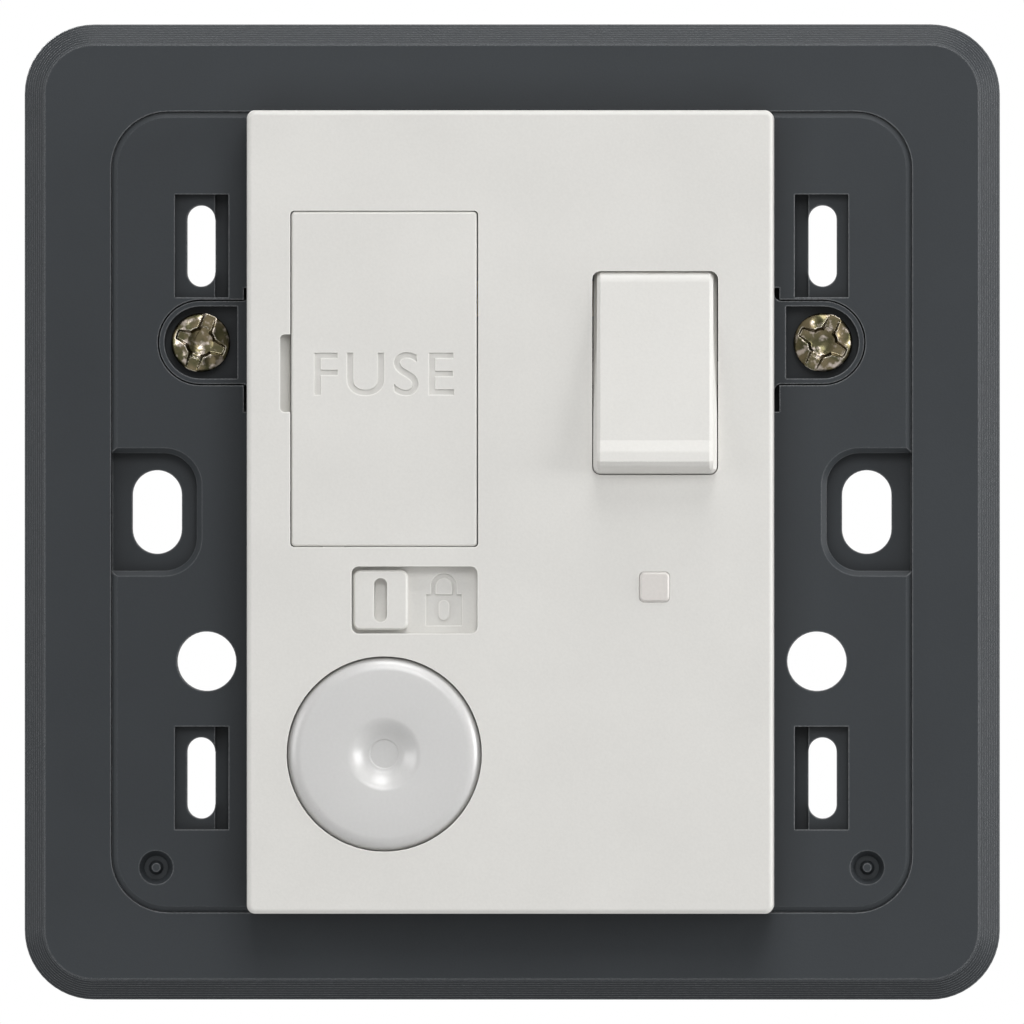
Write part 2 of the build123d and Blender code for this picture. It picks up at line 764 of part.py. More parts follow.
def fixed_contact_tips():
    """Contact rivets on the fixed strips, just short of the arms' rivets with the switch on."""
    reach = arm_upper - tip_inset + tip_radius
    lowest = Vector(0, reach, arm_offset - tip_height).rotate(Axis.X, -arm_tilt)
    top = arm_level + lowest.Z - tip_gap
    y = rocker_y + arm_upper - tip_inset
    tips = Part()
    for x in (pole_left, pole_right):
        tips += post(tip_radius, strip_top, top, (x, y))
    return tips


def at_rocker(shape):
    """Puts a shape drawn about the rocker's axis in its place with the switch off."""
    return Pos(rocker_x, rocker_y, pivot_level) * Rot(-rocker_tilt, 0, 0) * shape


def drum_end(level):
    """How far the rocker's round ends reach from its axis at a level."""
    return (drum_radius ** 2 - level ** 2) ** 0.5


def rocker_drum(radius, half_width, corner):
    """A drum about the rocker's axis with rounded rims, so that it turns in its well with an even gap."""
    drum = bar_x(radius, -half_width, half_width, 0, 0)
    return fillet(drum.edges().filter_by(GeomType.CIRCLE), corner)


def rocker_flank(side):
    """The sloping side of the rocker, which closes the gap beside it."""
    half = rocker_width / 2
    inside = half - rocker_edge
    outside = rocker_opening_width / 2 - rocker_gap
    outline = Polyline((side * inside, -rocker_skirt), (side * outside, -rocker_skirt),
                       (side * outside, flank_low), (side * half, flank_high), (side * inside, flank_high),
                       close=True)
    plane = Plane((0, drum_radius, 0), x_dir=(1, 0, 0), z_dir=(0, -1, 0))
    return extrude(plane * make_face(outline), 2 * drum_radius)


def rocker():
    """Hollow rocker with round ends, a finger ridge, two trunnions and two plunger tubes."""
    high = face_height
    ridge = high + ridge_height
    shoulder = ridge_length - ridge_tip
    foot_level = high - ridge_foot_drop
    low_end = drum_end(rocker_skirt)
    outline = [
        ThreePointArc((low_end, -rocker_skirt), (drum_radius, 0), (drum_end(high), high)),
        Polyline((drum_end(high), high), (shoulder + ridge_slope, high), (shoulder, ridge),
                 (ridge_edge - ridge_tip, ridge), (-ridge_tip, ridge - ridge_edge),
                 (-drum_end(foot_level), foot_level)),
        ThreePointArc((-drum_end(foot_level), foot_level), (-drum_radius, 0), (-low_end, -rocker_skirt)),
        Line((-low_end, -rocker_skirt), (low_end, -rocker_skirt)),
    ]
    half = rocker_width / 2
    plane = Plane((-half, 0, 0), x_dir=(0, 1, 0), z_dir=(1, 0, 0))
    body = extrude(plane * make_face(outline), rocker_width)
    top_edge = [edge for edge in body.edges().filter_by(Axis.X)
                if abs(edge.center().Y - drum_end(high)) < 0.01 and abs(edge.center().Z - high) < 0.01]
    body = fillet(top_edge, rocker_round)
    crest = [edge for edge in body.edges().filter_by(Axis.X)
             if abs(edge.center().Z - ridge) < 0.01 and abs(edge.center().Y - shoulder) < 0.01]
    body = fillet(crest, ridge_round)
    sides =[edge for edge in body.edges()
             if abs(abs(edge.center().X) - half) < 0.01 and edge.center().Z > 0.7 * high]
    body = chamfer(sides, rocker_edge)
    body += rocker_flank(-1) + rocker_flank(1)
    outside = rocker_opening_width / 2 - rocker_gap
    body &= rocker_drum(drum_radius, outside, rocker_opening_corner - rocker_gap)
    ceiling = high - rocker_wall
    bay = low_end - rocker_wall
    body -= block(-half + rocker_wall, half - rocker_wall, -bay, bay, -rocker_skirt - 1, ceiling)
    bore = plunger_radius + bearing_gap
    for side in (-1, 1):
        at = (side * pole_spacing / 2, 0)
        body += post(tube_radius, -tube_length, ceiling + 0.5, at)
    for side in (-1, 1):
        body += bar_x(trunnion_radius, min(side * half, side * (half + trunnion_length)),
                      max(side * half, side * (half + trunnion_length)), 0, 0)
    for side in (-1, 1):
        at = (side * pole_spacing / 2, 0)
        body -= post(bore, -tube_length - 1, ceiling, at)
    return at_rocker(body)


def plungers():
    """Two round-nosed plungers that slide in the rocker's tubes and press on the arms."""
    radius = plunger_radius
    shoulder = -plunger_reach + radius
    back = -plunger_reach + plunger_length
    outline = [(0, -plunger_reach), (0.5 * radius, shoulder - 0.87 * radius),
               (0.87 * radius, shoulder - 0.5 * radius), (radius, shoulder), (radius, back), (0, back)]
    rod = turned(outline)
    pair = Part()
    for side in (-1, 1):
        pair += at_rocker(Pos(side * pole_spacing / 2, 0, 0) * rod)
    return pair


def plunger_springs():
    """The two coil springs behind the plungers."""
    low = -plunger_reach + plunger_length
    high = face_height - rocker_wall
    length = high - low - spring_wire
    coil_radius = plunger_radius - spring_gap - spring_wire / 2
    path = Helix(length / spring_turns, length, coil_radius)
    start = Plane(path @ 0, z_dir=path % 0)
    coil = sweep(start * Rectangle(spring_wire * 0.8, spring_wire * 0.8), path, is_frenet=True)
    pair = Part()
    for side in (-1, 1):
        pair += at_rocker(Pos(side * pole_spacing / 2, 0, low + spring_wire / 2) * coil)
    return pair


def lock_slider():
    """Slider behind the front cover, with its button in the window and a tongue for the carrier."""
    half = slider_height / 2
    low = base_front + slide_gap
    body = block(slider_left, slider_right, lock_y - half, lock_y + half, low, slider_top)
    tip = carrier_y - carrier_height / 2 + carrier_gap + carrier_wall - tongue_tip_gap
    body += block(tongue_x - tongue_width / 2, tongue_x + tongue_width / 2, lock_y, tip,
                  low, low + tongue_thickness)
    button_x = lock_x - lock_width / 2 + button_side_gap + button_width / 2
    top = module_front - button_sink
    button = slab(button_width, button_height, low, top, lock_corner, (button_x, lock_y))
    button = chamfer(front_edges(button), carrier_edge)
    slot_at = (button_x, lock_y)
    body += button
    body -= upright_slot(button_slot_width, button_slot_length, top - button_slot_depth, top + 1, slot_at)
    return body


def cord_outlet_grommet():
    """Soft round plug with a crater in its middle, where the flex is put through."""
    top = module_front + outlet_proud
    side = skin_back
    flange = outlet_radius + outlet_flange
    low = base_front + slide_gap
    round_start = outlet_radius - outlet_round
    crater = Spline((crater_floor_radius, top - crater_depth), (crater_radius, top),
                    tangents=((1, 0), (1, 0)))
    inside = top - outlet_skin
    centre_back = top - crater_depth - outlet_skin
    outline = [
        Line((0, top - crater_depth), (crater_floor_radius, top - crater_depth)),
        crater,
        Line((crater_radius, top), (round_start, top)),
        RadiusArc((round_start, top), (outlet_radius, top - outlet_round), outlet_round),
        Polyline((outlet_radius, top - outlet_round), (outlet_radius, side), (flange, side), (flange, low),
                 (outlet_hollow_radius, low), (outlet_hollow_radius, inside), (crater_radius, inside),
                 (crater_floor_radius, centre_back), (0, centre_back), (0, top - crater_depth)),
    ]
    return Pos(outlet_x, outlet_y, 0) * revolve(Plane.XZ * make_face(outline), Axis.Z)


def indicator_lens():
    """Square lens with a flange behind the front cover and a light guide to the lamp."""
    at = (lens_x, lens_y)
    wide = lens_size + 2 * lens_gap + 2 * lens_flange
    low = skin_back - lens_flange_thickness
    body = slab(lens_size, lens_size, low, module_front + lens_dome, lens_corner, at)
    body = chamfer(front_edges(body), min(lens_dome, 0.9 * lens_corner))
    body += slab(wide, wide, low, skin_back, 0, at)
    body += post(lens_size / 2, lamp_level + lamp_radius + lamp_gap, low, at)
    return body


def lamp():
    """Small lamp across the bay, resting on two posts by its end pins."""
    middle = (switch_bay_left + bay_right) / 2
    half = lamp_length / 2
    taper = 0.5 * lamp_radius
    outline = [(0, -half), (lamp_radius - taper, -half), (lamp_radius, -half + taper),
               (lamp_radius, half - taper), (lamp_radius - taper, half), (0, half)]
    glass = Pos(middle, lens_y, lamp_level) * Rot(0, 90, 0) * turned(outline)
    return glass + bar_x(lamp_pin_radius, switch_bay_left + screw_gap, bay_right - screw_gap, lens_y,
                         lamp_level)


def lamp_resistor():
    """Resistor of the lamp, resting on two posts by its leads."""
    middle = (switch_bay_left + bay_right) / 2
    half = resistor_length / 2
    body = bar_x(resistor_radius, middle - half, middle + half, resistor_y, resistor_level)
    return body + bar_x(resistor_lead_radius, switch_bay_left + screw_gap, bay_right - screw_gap,
                        resistor_y, resistor_level)


def terminal(x, up, width, screw_places):
    """A box terminal with a square wire hole and its screw holes at the back."""
    inner = up * tail_face
    outer = up * (tail_face + terminal_length)
    back = terminal_front - terminal_height
    body = block(x - width / 2, x + width / 2, min(inner, outer), max(inner, outer), back, terminal_front)
    hole_low = terminal_front - wire_hole_offset - wire_hole
    for screw_x in screw_places:
        body -= block(screw_x - wire_hole / 2, screw_x + wire_hole / 2, min(inner, outer) - 1,
                      max(inner, outer) + 1, hole_low, hole_low + wire_hole)
        at = (screw_x, up * (tail_face + terminal_length / 2))
        body -= post(terminal_screw_radius + screw_gap, back - 1, hole_low + 1, at)
    return body


def terminal_screws():
    """The clamp screws of all terminals."""
    back = terminal_front - terminal_height
    tip = terminal_front - wire_hole_offset - wire_hole
    screws = Part()
    half = earth_screw_spacing / 2
    places = ((supply_line_x, -1), (supply_neutral_x, -1), (carrier_x, 1), (pole_right, 1),
              (earth_x - half, 1), (earth_x + half, 1))
    for x, up in places:
        at = (x, up * (tail_face + terminal_length / 2))
        screws += post(terminal_screw_radius, back, tip, at)
        screws += slotted_head(terminal_head_radius, back - terminal_head_height, back, at)
    return screws


def housing_screws():
    """Two screws from the back of the rear housing into the front cover."""
    seat = base_front - boss_depth - housing_grip
    screws = Part()
    for boss_y in (boss_upper_y, boss_lower_y):
        at = (boss_x, boss_y)
        screws += post(housing_screw_radius, seat, seat + housing_screw_length, at)
        screws += slotted_head(housing_head_radius, seat - housing_head_height, seat, at)
    return screws


def cord_clamp_bar():
    """Bar across the back that holds the flex above the passage."""
    half = clamp_length / 2
    low = base_back - clamp_thickness
    body = block(outlet_x - half, outlet_x + half, clamp_y - clamp_width / 2, clamp_y + clamp_width / 2,
                 low, base_back)
    arch_half = clamp_arch_length / 2
    body -= block(outlet_x - arch_half, outlet_x + arch_half, clamp_y - clamp_width, clamp_y + clamp_width,
                  base_back - clamp_arch, base_back + 1)
    for side in (-1, 1):
        at = (outlet_x + side * clamp_screw_spacing / 2, clamp_y)
        body -= post(clamp_screw_radius + 3 * screw_gap, low - 1, base_back + 1, at)
    return body


def cord_clamp_screws():
    """The two screws of the clamp bar."""
    seat = base_back - clamp_thickness
    screws = Part()
    for side in (-1, 1):
        at = (outlet_x + side * clamp_screw_spacing / 2, clamp_y)
        screws += post(clamp_screw_radius, seat, seat + clamp_screw_length, at)
        screws += slotted_head(clamp_head_radius, seat - clamp_head_height, seat, at)
    return screws


earth_half = earth_screw_spacing / 2
pieces = {
    "outer_frame": outer_frame(),
    "support_plate": support_plate(),
    "module_screws": module_screws(),
    "front_cover": front_cover(),
    "rear_housing": rear_housing(),
    "fuse_carrier": fuse_carrier(),
    "fuse_barrel": fuse_barrel(),
    "fuse_caps": fuse_caps(),
    "fuse_outlet_clip": fuse_outlet_clip(),
    "fuse_feed_strip": fuse_feed_strip(),
    "line_pivot_strip": pivot_strip(pole_left),
    "neutral_pivot_strip": pivot_strip(pole_right),
    "line_contact_arm": contact_arm(pole_left),
    "neutral_contact_arm": contact_arm(pole_right),
    "neutral_contact_strip": neutral_contact_strip(),
    "fixed_contact_tips": fixed_contact_tips(),
    "moving_contact_tips": moving_contact_tips(),
    "rocker": rocker(),
    "plungers": plungers(),
    "plunger_springs": plunger_springs(),
    "indicator_lens": indicator_lens(),
    "lamp": lamp(),
    "lamp_resistor": lamp_resistor(),
    "lock_slider": lock_slider(),
    "cord_outlet_grommet": cord_outlet_grommet(),
    "supply_line_terminal": terminal(supply_line_x, -1, terminal_width, [supply_line_x]),
    "supply_neutral_terminal": terminal(supply_neutral_x, -1, terminal_width, [supply_neutral_x]),
    "load_line_terminal": terminal(carrier_x, 1, terminal_width, [carrier_x]),
    "load_neutral_terminal": terminal(pole_right, 1, terminal_width, [pole_right]),
    "earth_terminal": terminal(earth_x, 1, earth_width, [earth_x - earth_half, earth_x + earth_half]),
    "terminal_screws": terminal_screws(),
    "housing_screws": housing_screws(),
    "cord_clamp_bar": cord_clamp_bar(),
    "cord_clamp_screws": cord_clamp_screws(),
}

os.makedirs("parts", exist_ok=True)
stand_up = Rot(90, 0, 0)
for name, piece in pieces.items():
    export_step(stand_up * piece, f"parts/{name}.step")
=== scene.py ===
"""Looks of a fused spur unit, laid out as an add-on and run as a script.

Every piece is in metres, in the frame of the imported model: X to the right, Y into the wall, Z up.
A piece that faces the viewer is drawn flat first, with Z as the way out of the wall, and then faced.
"""

import math

import bmesh
import bpy
from bpy.props import FloatProperty, FloatVectorProperty, IntProperty, PointerProperty, StringProperty
from mathutils import Matrix, Vector


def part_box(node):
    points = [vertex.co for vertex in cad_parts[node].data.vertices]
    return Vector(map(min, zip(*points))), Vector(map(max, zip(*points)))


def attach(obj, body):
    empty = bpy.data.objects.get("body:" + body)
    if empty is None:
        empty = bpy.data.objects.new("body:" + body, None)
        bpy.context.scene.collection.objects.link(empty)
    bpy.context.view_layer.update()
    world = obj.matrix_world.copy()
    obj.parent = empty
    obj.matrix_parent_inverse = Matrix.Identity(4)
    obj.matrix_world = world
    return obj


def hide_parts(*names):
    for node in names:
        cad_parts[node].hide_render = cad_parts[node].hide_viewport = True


bl_info = {
    "name": "Fused spur unit",
    "version": (1, 0, 0),
    "blender": (4, 5, 0),
    "location": "3D View > Sidebar > Spur unit",
    "description": "Dresses the packed model of a fused spur unit",
    "category": "Object",
}

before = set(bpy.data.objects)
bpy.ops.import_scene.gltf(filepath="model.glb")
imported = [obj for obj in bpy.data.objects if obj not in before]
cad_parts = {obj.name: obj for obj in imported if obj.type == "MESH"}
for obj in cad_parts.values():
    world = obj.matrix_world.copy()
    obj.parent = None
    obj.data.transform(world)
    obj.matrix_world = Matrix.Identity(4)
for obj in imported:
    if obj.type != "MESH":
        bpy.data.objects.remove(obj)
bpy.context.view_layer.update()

MM = 0.001
WHITE = (1.0, 1.0, 1.0, 1.0)

# Turns a shape that is drawn flat to the front
FACING = Matrix.Rotation(math.radians(90), 4, "X")

# Points this close are joined, or count as lying in one place
JOINED = 0.0005 * MM
CLOSED = 0.001 * MM
PICKED = 0.01 * MM

# Faces this flat become one, and edges sharper than this many degrees stay sharp
FLAT = math.radians(0.2)
SHARP = 30.0

# A cut leaves at least this share of the volume
LEAST_LEFT = 0.5

# Steps of the curved forms
CORNER_STEPS = 28
LETTER_STEPS = 8
SHACKLE_STEPS = 16
KEYHOLE_STEPS = 6
PLUG_STEPS = 144
PLUG_RIM_STEPS = 12
CRATER_STEPS = 16
HEAD_STEPS = 160
HEAD_RINGS = 48

# The word before it is made to size, in the font's own units
LETTER_SPACING = 1.12
LETTER_DEPTH = 0.1
LETTER_JOINED = 0.0001

# Radius of the keyhole's ends as a share of its width
KEYHOLE_ROUND = 0.49

# Colour sockets of a Mix node, which are known by number
MIX_SHARE = 0
MIX_FIRST = 6
MIX_SECOND = 7
MIX_RESULT = 2

# Rays by which a finish feels soft edges, sharp edges and hollows, and the reach of the rim along which a
# highlight is painted
SOFT_SAMPLES = 4
EDGE_SAMPLES = 6
OPEN_SAMPLES = 3
RIM_REACH = 0.12 * MM

# Noise swings about its middle, and a moulding's colour and roughness follow its flow in part
NOISE_MIDDLE = 0.5
FLOW_SHARE = 0.6
FLOW_SWING = 0.10

# Lights, each with a power and a place of its own
LIGHTS = ("key", "top", "right", "left", "rear")


def length(name, description, default):
    """A size in metres that a user may change."""
    return FloatProperty(name=name, description=description, default=default, unit="LENGTH", precision=5)


def colour(name, description, default):
    """A colour in linear light that a user may change."""
    return FloatVectorProperty(name=name, description=description, default=default, subtype="COLOR",
                               size=3, min=0.0, max=1.0)


def turn(name, description, degrees):
    """An angle that a user may change."""
    return FloatProperty(name=name, description=description, default=math.radians(degrees), subtype="ANGLE")


def power(name, description, default):
    """A light's power in watts that a user may change."""
    return FloatProperty(name=name, description=description, default=default, unit="POWER")


def place(name, description, default):
    """A place in metres that a user may change."""
    return FloatVectorProperty(name=name, description=description, default=default, subtype="TRANSLATION",
                               size=3)


class SpurSizes(bpy.types.PropertyGroup):
    """Sizes of the pieces that are modelled here."""

    frame_corner: length("Frame corner", "Radius of the frame's outer corners", 5.9 * MM)
    edge_run: length("Edge run", "Width of the frame's sloping edge, seen from the front", 1.8 * MM)
    edge_lip: length("Edge lip", "Height of the upright lip below the sloping edge", 1.4 * MM)
    edge_margin: length("Edge margin", "Plain strip on each side of the ribs", 0.06 * MM)
    rib_count: IntProperty(name="Ribs", description="Fine ribs on the sloping edge", default=9, min=1)
    rib_height: length("Rib height", "How far a rib stands out of the slope", 0.09 * MM)
    rib_root: length("Rib root", "How far the ribs are let into the slope", 0.2 * MM)
    word: StringProperty(name="Word", description="Generic word sunk into the carrier", default="FUSE")
    word_width: length("Word width", "Width of the sunk word", 11.8 * MM)
    word_height: length("Word height", "Height of the sunk word", 3.65 * MM)
    word_rise: length("Word rise", "Height of the word's middle above the carrier's middle", 0.43 * MM)
    word_depth: length("Word depth", "Depth of the sunk word", 0.16 * MM)
    sign_x: length("Sign X", "Place of the padlock sign across the unit", -5.62 * MM)
    sign_z: length("Sign Z", "Height of the middle of the padlock's body", -8.31 * MM)
    sign_width: length("Sign width", "Width of the padlock's body", 3.02 * MM)
    sign_height: length("Sign height", "Height of the padlock's body", 2.63 * MM)
    sign_depth: length("Sign depth", "Depth of the sunk padlock sign", 0.14 * MM)
    shackle_width: length("Shackle width", "Outer width of the padlock's shackle", 2.17 * MM)
    shackle_stroke: length("Shackle stroke", "Thickness of the padlock's shackle", 0.38 * MM)
    shackle_rise: length("Shackle rise", "Height of the shackle above the body", 1.78 * MM)
    keyhole_width: length("Keyhole width", "Width of the raised keyhole", 0.93 * MM)
    keyhole_height: length("Keyhole height", "Height of the raised keyhole", 1.7 * MM)
    plug_radius: length("Plug radius", "Radius of the outlet plug in the front", 8.24 * MM)
    plug_round: length("Plug round", "Radius of the plug's rim", 1.25 * MM)
    plug_hollow: length("Plug hollow", "Radius of the hollow behind the plug's face", 6.4 * MM)
    plug_skin: length("Plug skin", "Thickness of the plug's face", 1.4 * MM)
    cover_skin: length("Cover skin", "Thickness of the front cover round the plug", 1.8 * MM)
    crater_radius: length("Crater radius", "Radius of the crater's mouth", 3.2 * MM)
    crater_floor: length("Crater floor", "Radius of the flat disc in the crater", 1.27 * MM)
    crater_depth: length("Crater depth", "Depth of the crater", 0.85 * MM)
    crater_step: length("Crater step", "Height of the step round the disc in the crater", 0.09 * MM)
    head_radius: length("Head radius", "Radius of the ear screws' heads", 2.5 * MM)
    head_height: length("Head height", "Height of the ear screws' heads", 1.6 * MM)
    shank_radius: length("Shank radius", "Radius of the ear screws' shanks", 1.45 * MM)
    head_wall: length("Head wall", "Height of the upright side of the ear screws' heads", 0.75 * MM)
    slot_width: length("Slot width", "Width of the slot across the screw heads", 0.95 * MM)
    slot_depth: length("Slot depth", "Depth of the slot across the screw heads", 0.87 * MM)
    arm_root: length("Arm root", "Width of the cross's arms in the middle of the head", 1.25 * MM)
    arm_tip: length("Arm tip", "Width of the cross's arms at their ends", 0.62 * MM)
    arm_along: length("Arm along", "Reach of the cross along the slot", 1.35 * MM)
    arm_across: length("Arm across", "Reach of the cross over the slot", 2.05 * MM)
    arm_depth: length("Arm depth", "Depth of the cross at its ends", 1.0 * MM)
    bowl_radius: length("Bowl radius", "Radius of the floor in the middle of the cross", 1.08 * MM)
    bowl_dip: length("Bowl dip", "How far the floor of the cross falls to the middle", 0.3 * MM)
    wall_slope: FloatProperty(name="Wall slope", description="Rise over run of recess walls", default=3.6)
    wall_soft: length("Wall softness", "Rounding of the recess edges", 0.03 * MM)
    dish_reach: length("Dish reach", "Distance of the dished lands from the screw's axis", 1.72 * MM)
    dish_radius: length("Dish radius", "Radius of the dish in each land of the screw heads", 0.68 * MM)
    dish_depth: length("Dish depth", "Depth of the dish in each land of the screw heads", 0.12 * MM)
    lens_grow: length("Lens growth", "How far the lens's sides stand out towards its seat", 0.055 * MM)
    carrier_grow: length("Carrier growth", "How far the carrier's sides stand out to its opening", 0.05 * MM)
    plate_corner: length("Plate corner", "Radius of the support plate's corners", 4.7 * MM)
    plate_grow: length("Plate growth", "How far the support plate stands out towards the frame", 0.07 * MM)
    plate_edge: length("Plate edge", "Height of the solid's bevel round the support plate", 0.4 * MM)
    plate_drop: length("Plate drop", "Height of the shallow bevel round the support plate", 0.2 * MM)
    left_turn: turn("Left screw", "Clockwise turn of the left screw's slot from upright", 20)
    right_turn: turn("Right screw", "Clockwise turn of the right screw's slot from upright", 26)
    edge_soft: length("Edge softness", "Radius by which moulded edges catch the light", 0.11 * MM)


class SpurColours(bpy.types.PropertyGroup):
    """Colours of the finishes, in linear light."""

    dark: colour("Dark moulding", "Matt dark grey plastic", (0.036, 0.0405, 0.045))
    # Paler colour painted along the dark moulding's outer edges as a highlight.
    dark_painted_highlight: colour("Dark rim", "Rubbed grain on the dark moulding's edges", (0.190, 0.197, 0.205))
    white: colour("White moulding", "Satin white plastic", (0.690, 0.680, 0.652))
    soft: colour("Outlet plug", "Soft white plug", (0.585, 0.581, 0.573))
    lens: colour("Lens", "Frosted lens", (0.700, 0.670, 0.640))
    zinc: colour("Zinc", "Yellow passivated zinc", (0.175, 0.142, 0.085))
    zinc_green: colour("Zinc green", "Greenish tint of the passivation", (0.085, 0.080, 0.042))
    zinc_rose: colour("Zinc rose", "Rosy tint of the passivation", (0.480, 0.420, 0.370))
    # Colour painted into the screws' hollows as shade and dark reflection.
    zinc_painted_shade: colour("Zinc hollow", "Dull tint in the hollows", (0.062, 0.056, 0.028))
    # Bright colour painted along the screws' sharp edges as a highlight.
    zinc_painted_highlight: colour("Zinc rubbed", "Bright rubbed edges", (0.700, 0.650, 0.570))
    brass: colour("Brass", "Plain brass", (0.780, 0.560, 0.240))
    nickel: colour("Nickel", "Nickel plate", (0.660, 0.640, 0.600))
    silver: colour("Silver", "Contact silver", (0.860, 0.850, 0.820))
    wire: colour("Spring wire", "Spring steel", (0.520, 0.520, 0.530))
    ceramic: colour("Ceramic", "Unglazed ceramic", (0.760, 0.730, 0.660))
    nylon: colour("Nylon", "Natural nylon", (0.720, 0.690, 0.610))
    glass: colour("Lamp glass", "Clear lamp glass", (0.900, 0.900, 0.880))
    lacquer: colour("Lacquer", "Lacquered resistor body", (0.480, 0.330, 0.170))


class SpurStage(bpy.types.PropertyGroup):
    """Camera, lights and floor."""

    view_width: length("View width", "Width of the picture at the middle of the frame", 87.03 * MM)
    view_reach: length("View reach", "Distance from the camera to the frame", 3.0)
    view_side: turn("View side", "How far the camera stands to the right", 0.95)
    key_power: power("Key", "Power of the soft light above the camera", 4.3)
    key_place: place("Key place", "Place of the soft light above the camera", (0.1, -0.95, 0.6))
    top_power: power("Top", "Power of the light that skims down the wall", 5.6)
    top_place: place("Top place", "Place of the light that skims down the wall", (0.1, -0.36, 1.0))
    right_power: power("Right", "Power of the light from the right", 7.0)
    right_place: place("Right place", "Place of the light from the right", (1.03, -0.3, 0.1))
    left_power: power("Left", "Power of the light from the left", 2.6)
    left_place: place("Left place", "Place of the light from the left", (-0.97, -0.47, 0.15))
    rear_power: power("Rear", "Power of the light behind the wall face", 12.0)
    rear_place: place("Rear place", "Place of the light behind the wall face", (-0.5, 0.95, 0.55))
    light_size: length("Light size", "Side of each light", 0.5)
    room: FloatProperty(name="Room", description="Strength of the light from all round", default=0.15)
    floor_drop: length("Floor drop", "Height of the unit's middle above the floor", 0.35)
    floor_side: length("Floor side", "Side of the floor", 6.0)
    floor_tone: colour("Floor", "Pale floor", (0.62, 0.62, 0.62))
    floor_white: FloatProperty(name="Floor white", description="White share of the seen floor", default=0.75)


class Wire:
    """An output socket of a node. Sums on it add Math nodes."""

    def __init__(self, finish, socket):
        self.finish = finish
        self.socket = socket

    def sum(self, operation, first, second):
        """A Math node on two values."""
        return self.finish.node("ShaderNodeMath", {"operation": operation}, {0: first, 1: second})

    def most(self, other):
        """The larger of two values."""
        return self.sum("MAXIMUM", self, other)

    def __add__(self, other):
        return self.sum("ADD", self, other)

    def __radd__(self, other):
        return self.sum("ADD", other, self)

    def __sub__(self, other):
        return self.sum("SUBTRACT", self, other)

    def __rsub__(self, other):
        return self.sum("SUBTRACT", other, self)

    def __mul__(self, other):
        return self.sum("MULTIPLY", self, other)

    def __rmul__(self, other):
        return self.sum("MULTIPLY", other, self)


class Finish:
    """The nodes of a material or of the world."""

    def __init__(self, name, owner=None):
        self.owner = owner or bpy.data.materials.new(name)
        self.owner.use_nodes = True
        self.tree = self.owner.node_tree
        self.tree.nodes.clear()

    def node(self, kind, settings, inputs, output=0):
        """Adds any node: its settings or its ramp's stops first, then its sockets' values or links."""
        made = self.tree.nodes.new(kind)
        for name, value in settings.items():
            if name == "stops":
                for element, (spot, level) in zip(made.color_ramp.elements, value):
                    element.position = spot
                    element.color = (level, level, level, 1.0)
            else:
                setattr(made, name, value)
        for key, value in inputs.items():
            if isinstance(value, Wire):
                self.tree.links.new(value.socket, made.inputs[key])
            else:
                made.inputs[key].default_value = value
        return Wire(self, made.outputs[output]) if made.outputs else made

    def noise(self, scale, detail=3.0, stretch=(1.0, 1.0, 1.0)):
        """Noise from 0 to 1, with its grain given in grains per metre."""
        spot = self.node("ShaderNodeTexCoord", {}, {}, "Object")
        spot = self.node("ShaderNodeMapping", {}, {"Vector": spot, "Scale": stretch})
        sockets = {"Vector": spot, "Scale": scale, "Detail": detail}
        return self.node("ShaderNodeTexNoise", {}, sockets, "Fac")

    def ramp(self, value, low, high, floor=0.0):
        """A value bent to rise from a floor at the low stop to 1 at the high stop."""
        return self.node("ShaderNodeValToRGB", {"stops": [(low, floor), (high, 1.0)]}, {"Fac": value})

    def mix(self, share, first, second):
        """A colour between two others."""
        sockets = {MIX_SHARE: share, MIX_FIRST: first, MIX_SECOND: second}
        return self.node("ShaderNodeMix", {"data_type": "RGBA"}, sockets, MIX_RESULT)

    def uneven(self, *swings, level):
        """A level that noises raise and lower, each given with its swing from lowest to highest."""
        parts = [(noise - NOISE_MIDDLE) * swing for noise, swing in swings]
        return sum(parts[1:], parts[0]) + level

    def grain(self, height, depth, strength, edge):
        """A normal with softened edges and a grain on it."""
        soft = self.node("ShaderNodeBevel", {"samples": SOFT_SAMPLES}, {"Radius": edge})
        sockets = {"Strength": strength, "Distance": depth, "Height": height, "Normal": soft}
        return self.node("ShaderNodeBump", {}, sockets)

    def edges(self, reach):
        """1 along sharp edges and 0 on plain faces."""
        soft = self.node("ShaderNodeBevel", {"samples": EDGE_SAMPLES}, {"Radius": reach})
        plain = self.node("ShaderNodeNewGeometry", {}, {}, "Normal")
        alike = self.node("ShaderNodeVectorMath", {"operation": "DOT_PRODUCT"}, {0: soft, 1: plain}, "Value")
        return self.ramp(1 - alike, low=0.02, high=0.14)

    def openness(self, reach, inside=False):
        """1 where nothing is near, and less in hollows, or along outer edges when felt from inside."""
        settings = {"samples": OPEN_SAMPLES, "inside": inside, "only_local": inside}
        return self.node("ShaderNodeAmbientOcclusion", settings, {"Distance": reach}, "AO")

    def rim(self, low, high):
        """1 along outer edges and 0 on plain faces, felt from inside."""
        return self.ramp(1 - self.openness(RIM_REACH, inside=True), low, high)

    def surface(self, **sockets):
        """Ends the material in a Principled surface."""
        named = {}
        for key, value in sockets.items():
            named[key.replace("_", " ").title().replace("Ior", "IOR")] = value
        shader = self.node("ShaderNodeBsdfPrincipled", {}, named)
        self.node("ShaderNodeOutputMaterial", {}, {"Surface": shader})
        return self.owner


def opaque(tone):
    """A colour with its alpha."""
    return (tone[0], tone[1], tone[2], 1.0)


def shade(tone, share):
    """A colour made darker or lighter by a share."""
    return tuple(min(1.0, part * share) for part in tone[:3]) + (1.0,)


def sizes():
    """The sizes in use."""
    return bpy.context.scene.spur_sizes


def colours():
    """The colours in use."""
    return bpy.context.scene.spur_colours


